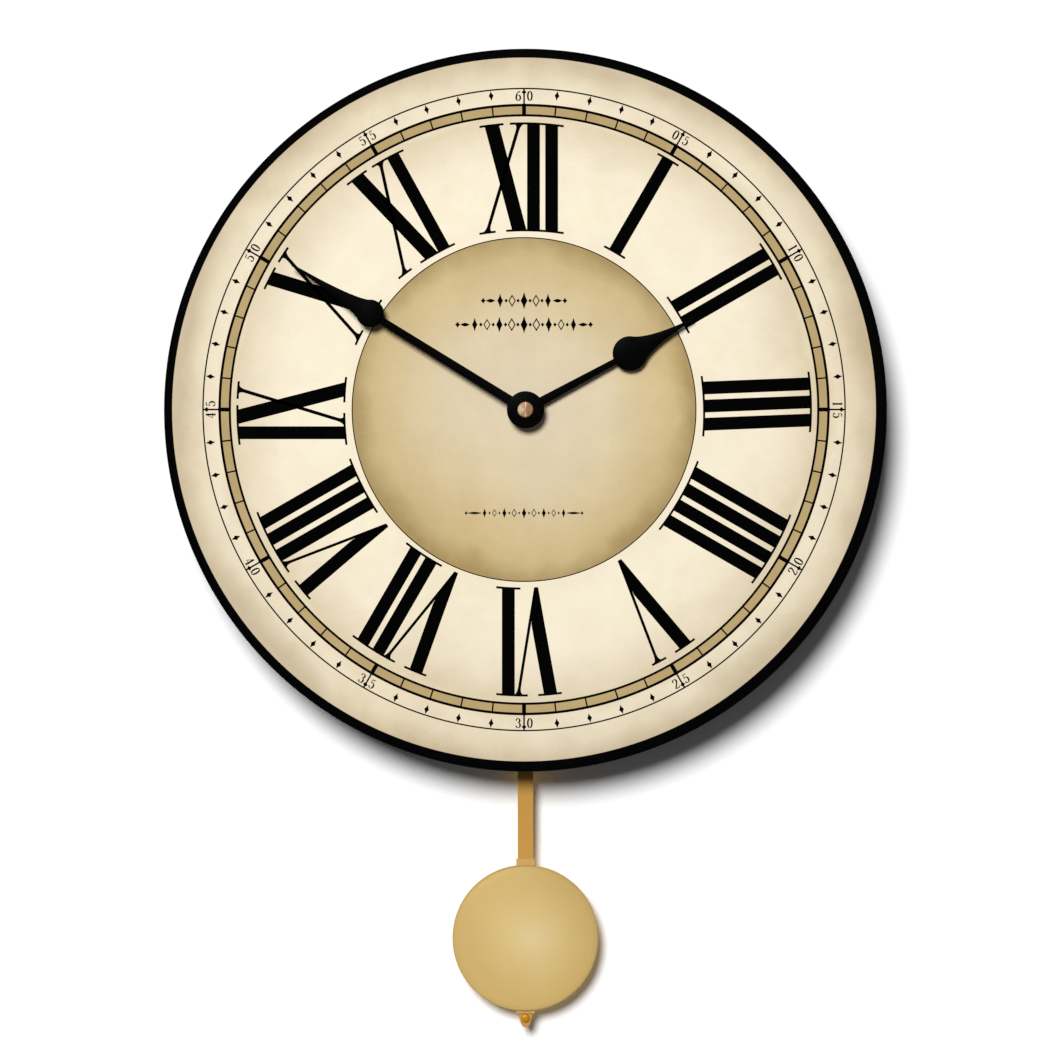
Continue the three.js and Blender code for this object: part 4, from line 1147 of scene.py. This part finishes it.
def makeHands():
    minute = makeHand("minute")
    install(minute, "hand", "minute_hand", "black hand", "minute_hand")
    hour = makeHand("hour")
    low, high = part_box("hour_hand")
    bore, radius, edge, top = collar["bore"], collar["radius"], collar["edge"], high.y - collar["belowTop"]
    profile = [(bore, top), (radius, top), (radius, low.y + edge), (radius - edge, low.y)]
    profile += [(bore, low.y), (bore, top)]
    seat = spun(profile, collar["steps"], dialAxis)
    smooth(seat, 30)
    hour = joinAll([hour, seat], "hourHandBlade")
    install(hour, "hand", "hour_hand", "black hand", "hour_hand")


makeHands()

nut = {"bore": 1.5 * mm, "flange": 1.5 * mm, "neckIn": 0.35 * mm, "rim": 0.25 * mm, "steps": 96}


def makeNut():
    low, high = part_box("hand_nut")
    radius = (high.x - low.x) / 2
    foot, crown = high.y, low.y
    rim, bore, neck, ledge = nut["rim"], nut["bore"], radius - nut["neckIn"], foot - nut["flange"]
    profile = [(bore, foot), (radius, foot)] + arcPoints(radius - rim, ledge + rim, rim, 0, -90, 4)
    profile += [(neck, ledge - 0.05 * mm), (neck, crown + rim)]
    profile += arcPoints(neck - rim, crown + rim, rim, 0, -90, 4)[1:]
    profile += [(0, crown), (0, ledge - 0.1 * mm), (bore, ledge - 0.1 * mm), (bore, foot)]
    piece = spun(profile, nut["steps"], dialAxis)
    complete(piece, "handNutCap", 35, "turned", "minute_hand", "turned brass", "hand_nut")


makeNut()
print("stage: hands and nut")


bob = {"rimRound": 1.6 * mm, "rise": 3.6 * mm, "sheet": 0.6 * mm, "backEdge": 0.2 * mm,
       "crownSteps": 14, "steps": 160}


def makeBob():
    back, crown = bobHigh.y, bobLow.y
    rimRound, sheet = bob["rimRound"], bob["sheet"]
    shoulder = crown + bob["rise"]
    outer = [(bobRadius, back)]
    outer += arcPoints(bobRadius - rimRound, shoulder + rimRound * 0.6, rimRound, 0, -68, 8)
    start = outer[-1]
    for i in range(1, bob["crownSteps"] + 1):
        share = 1 - i / bob["crownSteps"]
        outer.append((start[0] * share, crown + (start[1] - crown) * share ** 2))
    inner = [(max(radius - sheet, 0), y + sheet) for radius, y in reversed(outer[1:])]
    inner[0] = (0, crown + sheet)
    inner.append((bobRadius - sheet, back))
    piece = spun(outer + inner + [outer[0]], bob["steps"], (0, bobCentre.z))
    complete(piece, "bobDome", 30, "dome", "bob", "bob brass", "bob_shell")
    low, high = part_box("bob_back")
    edge = bob["backEdge"]
    radius = (high.x - low.x) / 2
    profile = [(0, high.y), (radius - edge, high.y)]
    profile += arcPoints(radius - edge, high.y - edge, edge, 90, 0, 3)[1:] + [(radius, low.y), (0, low.y)]
    plate = spun(profile, bob["steps"], (0, bobCentre.z))
    complete(plate, "bobBackPlate", 30, "dome", "bob", "bob brass", "bob_back")


makeBob()
install(softened("pendulum_rod", 0.15 * mm), "rod", "pendulum", "rod brass", "pendulum_rod")
install(softened("bob_guide", 0.12 * mm), "sleeve", "bob", "turned brass", "bob_guide")


rivet = {"shank": 1.0 * mm, "clench": 1.8 * mm, "clenchDepth": 0.8 * mm, "headDepth": 1.3 * mm,
         "headRound": 0.6 * mm, "steps": 48}


def makeRivet():
    low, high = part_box("stop_rivet")
    radius = (high.x - low.x) / 2
    back, front = high.y, low.y
    shank, clench, roundOff = rivet["shank"], rivet["clench"], rivet["headRound"]
    inside, under = back - rivet["clenchDepth"], front + rivet["headDepth"]
    profile = [(0, back), (1.5 * mm, back - 0.1 * mm), (clench, back - 0.4 * mm), (clench, inside),
               (shank, inside), (shank, under), (radius, under)]
    profile += arcPoints(radius - roundOff, front + 0.7 * mm, roundOff, 0, -80, 4)[1:]
    profile += [(0.8 * mm, front + 0.02 * mm), (0, front)]
    piece = spun(profile, rivet["steps"], ((low.x + high.x) / 2, (low.z + high.z) / 2))
    complete(piece, "stopRivetHead", 35, "amber", "pendulum", "turned brass", "stop_rivet")


makeRivet()
print("stage: pendulum")


# Movement as seen from the back, and the fixings: edge widths in millimetres.
brokenEdges = {
    "case_front": ("case", "clock_case", "black case", 0.25),
    "rear_cover": ("case", "clock_case", "black case", 0.25),
    "battery_tray": ("case", "clock_case", "black case", 0.12),
    "hanger_bracket": ("zinc", "clock_case", "zinc steel", 0.18),
    "setting_knob": ("nylon", "setting_knob", "white nylon", 0.15),
    "hex_nut": ("turned", "clock_case", "turned brass", 0.2),
    "dial_washer": ("turned", "clock_case", "turned brass", 0.12),
    "threaded_bushing": ("turned", "clock_case", "turned brass", 0.15),
    "pendulum_arm": ("nylon", "pendulum", "white nylon", 0.15),
    "positive_contact": ("nickel", "clock_case", "spring steel", 0.06),
}
for node, (key, body, slot, width) in brokenEdges.items():
    install(softened(node, width * mm), key, body, slot, node)

cell = {"edge": 0.5 * mm, "nub": 2.75 * mm, "nubLength": 1.0 * mm, "steps": 96}


def makeCell():
    low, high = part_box("battery_cell")
    radius = (high.z - low.z) / 2
    length = high.x - low.x
    edge = cell["edge"]
    profile = [(0, 0), (radius - 1.2 * mm, 0), (radius - 1.0 * mm, 0.25 * mm)]
    profile += arcPoints(radius - edge, edge + 0.15 * mm, edge, -90, 0, 4)
    profile += arcPoints(radius - edge, length - cell["nubLength"] - edge - 0.1 * mm, edge, 0, 90, 4)
    shoulder = length - cell["nubLength"]
    profile += [(radius - 1.1 * mm, shoulder - 0.1 * mm), (radius - 1.3 * mm, shoulder - 0.35 * mm),
                (cell["nub"] + 0.1 * mm, shoulder - 0.35 * mm), (cell["nub"], length - 0.2 * mm),
                (cell["nub"] - 0.2 * mm, length), (0, length)]
    piece = spun(profile, cell["steps"])
    piece.rotation_euler = (0, 0, -math.pi / 2)
    piece.location = (low.x, (low.y + high.y) / 2, (low.z + high.z) / 2)
    settle(piece)
    tidyNormals(piece)
    complete(piece, "aaCell", 30, "sleeveFoil", "clock_case", "battery wrap", "battery_cell")


makeCell()

innerFinishes = {
    "nylon": ["intermediate_wheel", "seconds_wheel", "third_wheel", "reverser_wheel",
              "motor_coil_bobbin", "drive_bobbin"],
    "acetal": ["rotor_pinion", "hour_wheel"],
    "turned": ["centre_wheel"],
    "nickel": ["minute_arbor", "pivot_pin", "quartz_crystal", "negative_spring", "friction_spring"],
    "zinc": ["stator_plate", "coil_core", "bob_weight"],
    "ferrite": ["rotor_magnet", "arm_magnet"],
    "motorCopper": ["motor_coil_winding"],
    "driveCopper": ["drive_winding"],
    "laminate": ["circuit_board", "drive_circuit_board"],
    "resin": ["timing_chip", "drive_transistor"],
    "case": ["rear_train_plate", "middle_train_plate"],
    "rubber": ["rubber_gasket"],
}
for key, nodes in innerFinishes.items():
    for node in nodes:
        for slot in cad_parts[node].material_slots:
            slot.material = finish[key]
print("stage: movement")


studio = {
    "wallHalf": 3.0, "wallGap": 0.4 * mm, "floorDrop": 1.3,
    "wallColour": (0.95, 0.95, 0.95, 1), "floorColour": (0.85, 0.85, 0.84, 1),
    "keyStrength": 3.46, "keyAngle": 20, "keyAim": (0.215, 1, -0.365),
    "backStrength": 1.5, "backAngle": 30, "backAim": (-0.3, -1, -0.5), "ambient": 0.08,
}


def paleFinish(name, colour, clearFromBack):
    material, tree, shader = newFinish(name)
    paler = tuple(min(c * 1.01, 1) for c in colour)
    tint = ramp(noise(mappedPlace(tree), 3, 3), [(0.3, colour), (0.7, paler)])
    tree.links.new(tint, shader.inputs["Base Color"])
    shader.inputs["Roughness"].default_value = 0.9
    shader.inputs["Specular IOR Level"].default_value = 0
    if clearFromBack:
        clear = addNode(tree, "ShaderNodeBsdfTransparent")
        facing = addNode(tree, "ShaderNodeNewGeometry")
        mix = addNode(tree, "ShaderNodeMixShader")
        tree.links.new(facing.outputs["Backfacing"], mix.inputs["Fac"])
        tree.links.new(shader.outputs["BSDF"], mix.inputs[1])
        tree.links.new(clear.outputs["BSDF"], mix.inputs[2])
        tree.links.new(mix.outputs["Shader"], tree.nodes["Material Output"].inputs["Surface"])
    return material


def makeStage():
    half = studio["wallHalf"]
    deselectAll()
    bpy.ops.mesh.primitive_plane_add(size=2 * half, location=(0, studio["wallGap"], 0),
                                     rotation=(math.pi / 2, 0, 0))
    wall = bpy.context.object
    wall.name = "wall"
    settle(wall)
    wall.data.materials.append(paleFinish("wallPaint", studio["wallColour"], True))
    wall.visible_shadow = False
    deselectAll()
    bpy.ops.mesh.primitive_plane_add(size=2 * half, location=(0, -half, -studio["floorDrop"]))
    floor = bpy.context.object
    floor.name = "floor"
    settle(floor)
    floor.data.materials.append(paleFinish("floorPaint", studio["floorColour"], False))
    floor.visible_diffuse = False


def makeSun(name, aim, strength, angle):
    light = bpy.data.lights.new(name, "SUN")
    light.energy = strength
    light.angle = math.radians(angle)
    lamp = bpy.data.objects.new(name, light)
    bpy.context.collection.objects.link(lamp)
    lamp.rotation_euler = Vector(aim).to_track_quat("-Z", "Y").to_euler()


def makeLights():
    makeSun("keyLight", studio["keyAim"], studio["keyStrength"], studio["keyAngle"])
    makeSun("backLight", studio["backAim"], studio["backStrength"], studio["backAngle"])
    world = bpy.data.worlds.new("paleStudio")
    bpy.context.scene.world = world
    world.use_nodes = True
    background = world.node_tree.nodes["Background"]
    background.inputs["Color"].default_value = white
    background.inputs["Strength"].default_value = studio["ambient"]


view = {"width": 552.8 * mm, "right": -0.25 * mm, "below": 60.5 * mm, "distance": 3.0}


def makeCamera():
    camera = bpy.data.cameras.new("camera")
    camera.sensor_width = 36
    camera.lens = camera.sensor_width * view["distance"] / view["width"]
    camera.clip_end = 50
    holder = bpy.data.objects.new("camera", camera)
    bpy.context.collection.objects.link(holder)
    holder.location = (view["right"], dialFront - view["distance"], dialCentre.z - view["below"])
    holder.rotation_euler = (math.pi / 2, 0, 0)
    bpy.context.scene.camera = holder


makeStage()
makeLights()
makeCamera()
bpy.context.scene.view_settings.view_transform = "Standard"
deselectAll()
print("stage: wall, lights and camera")
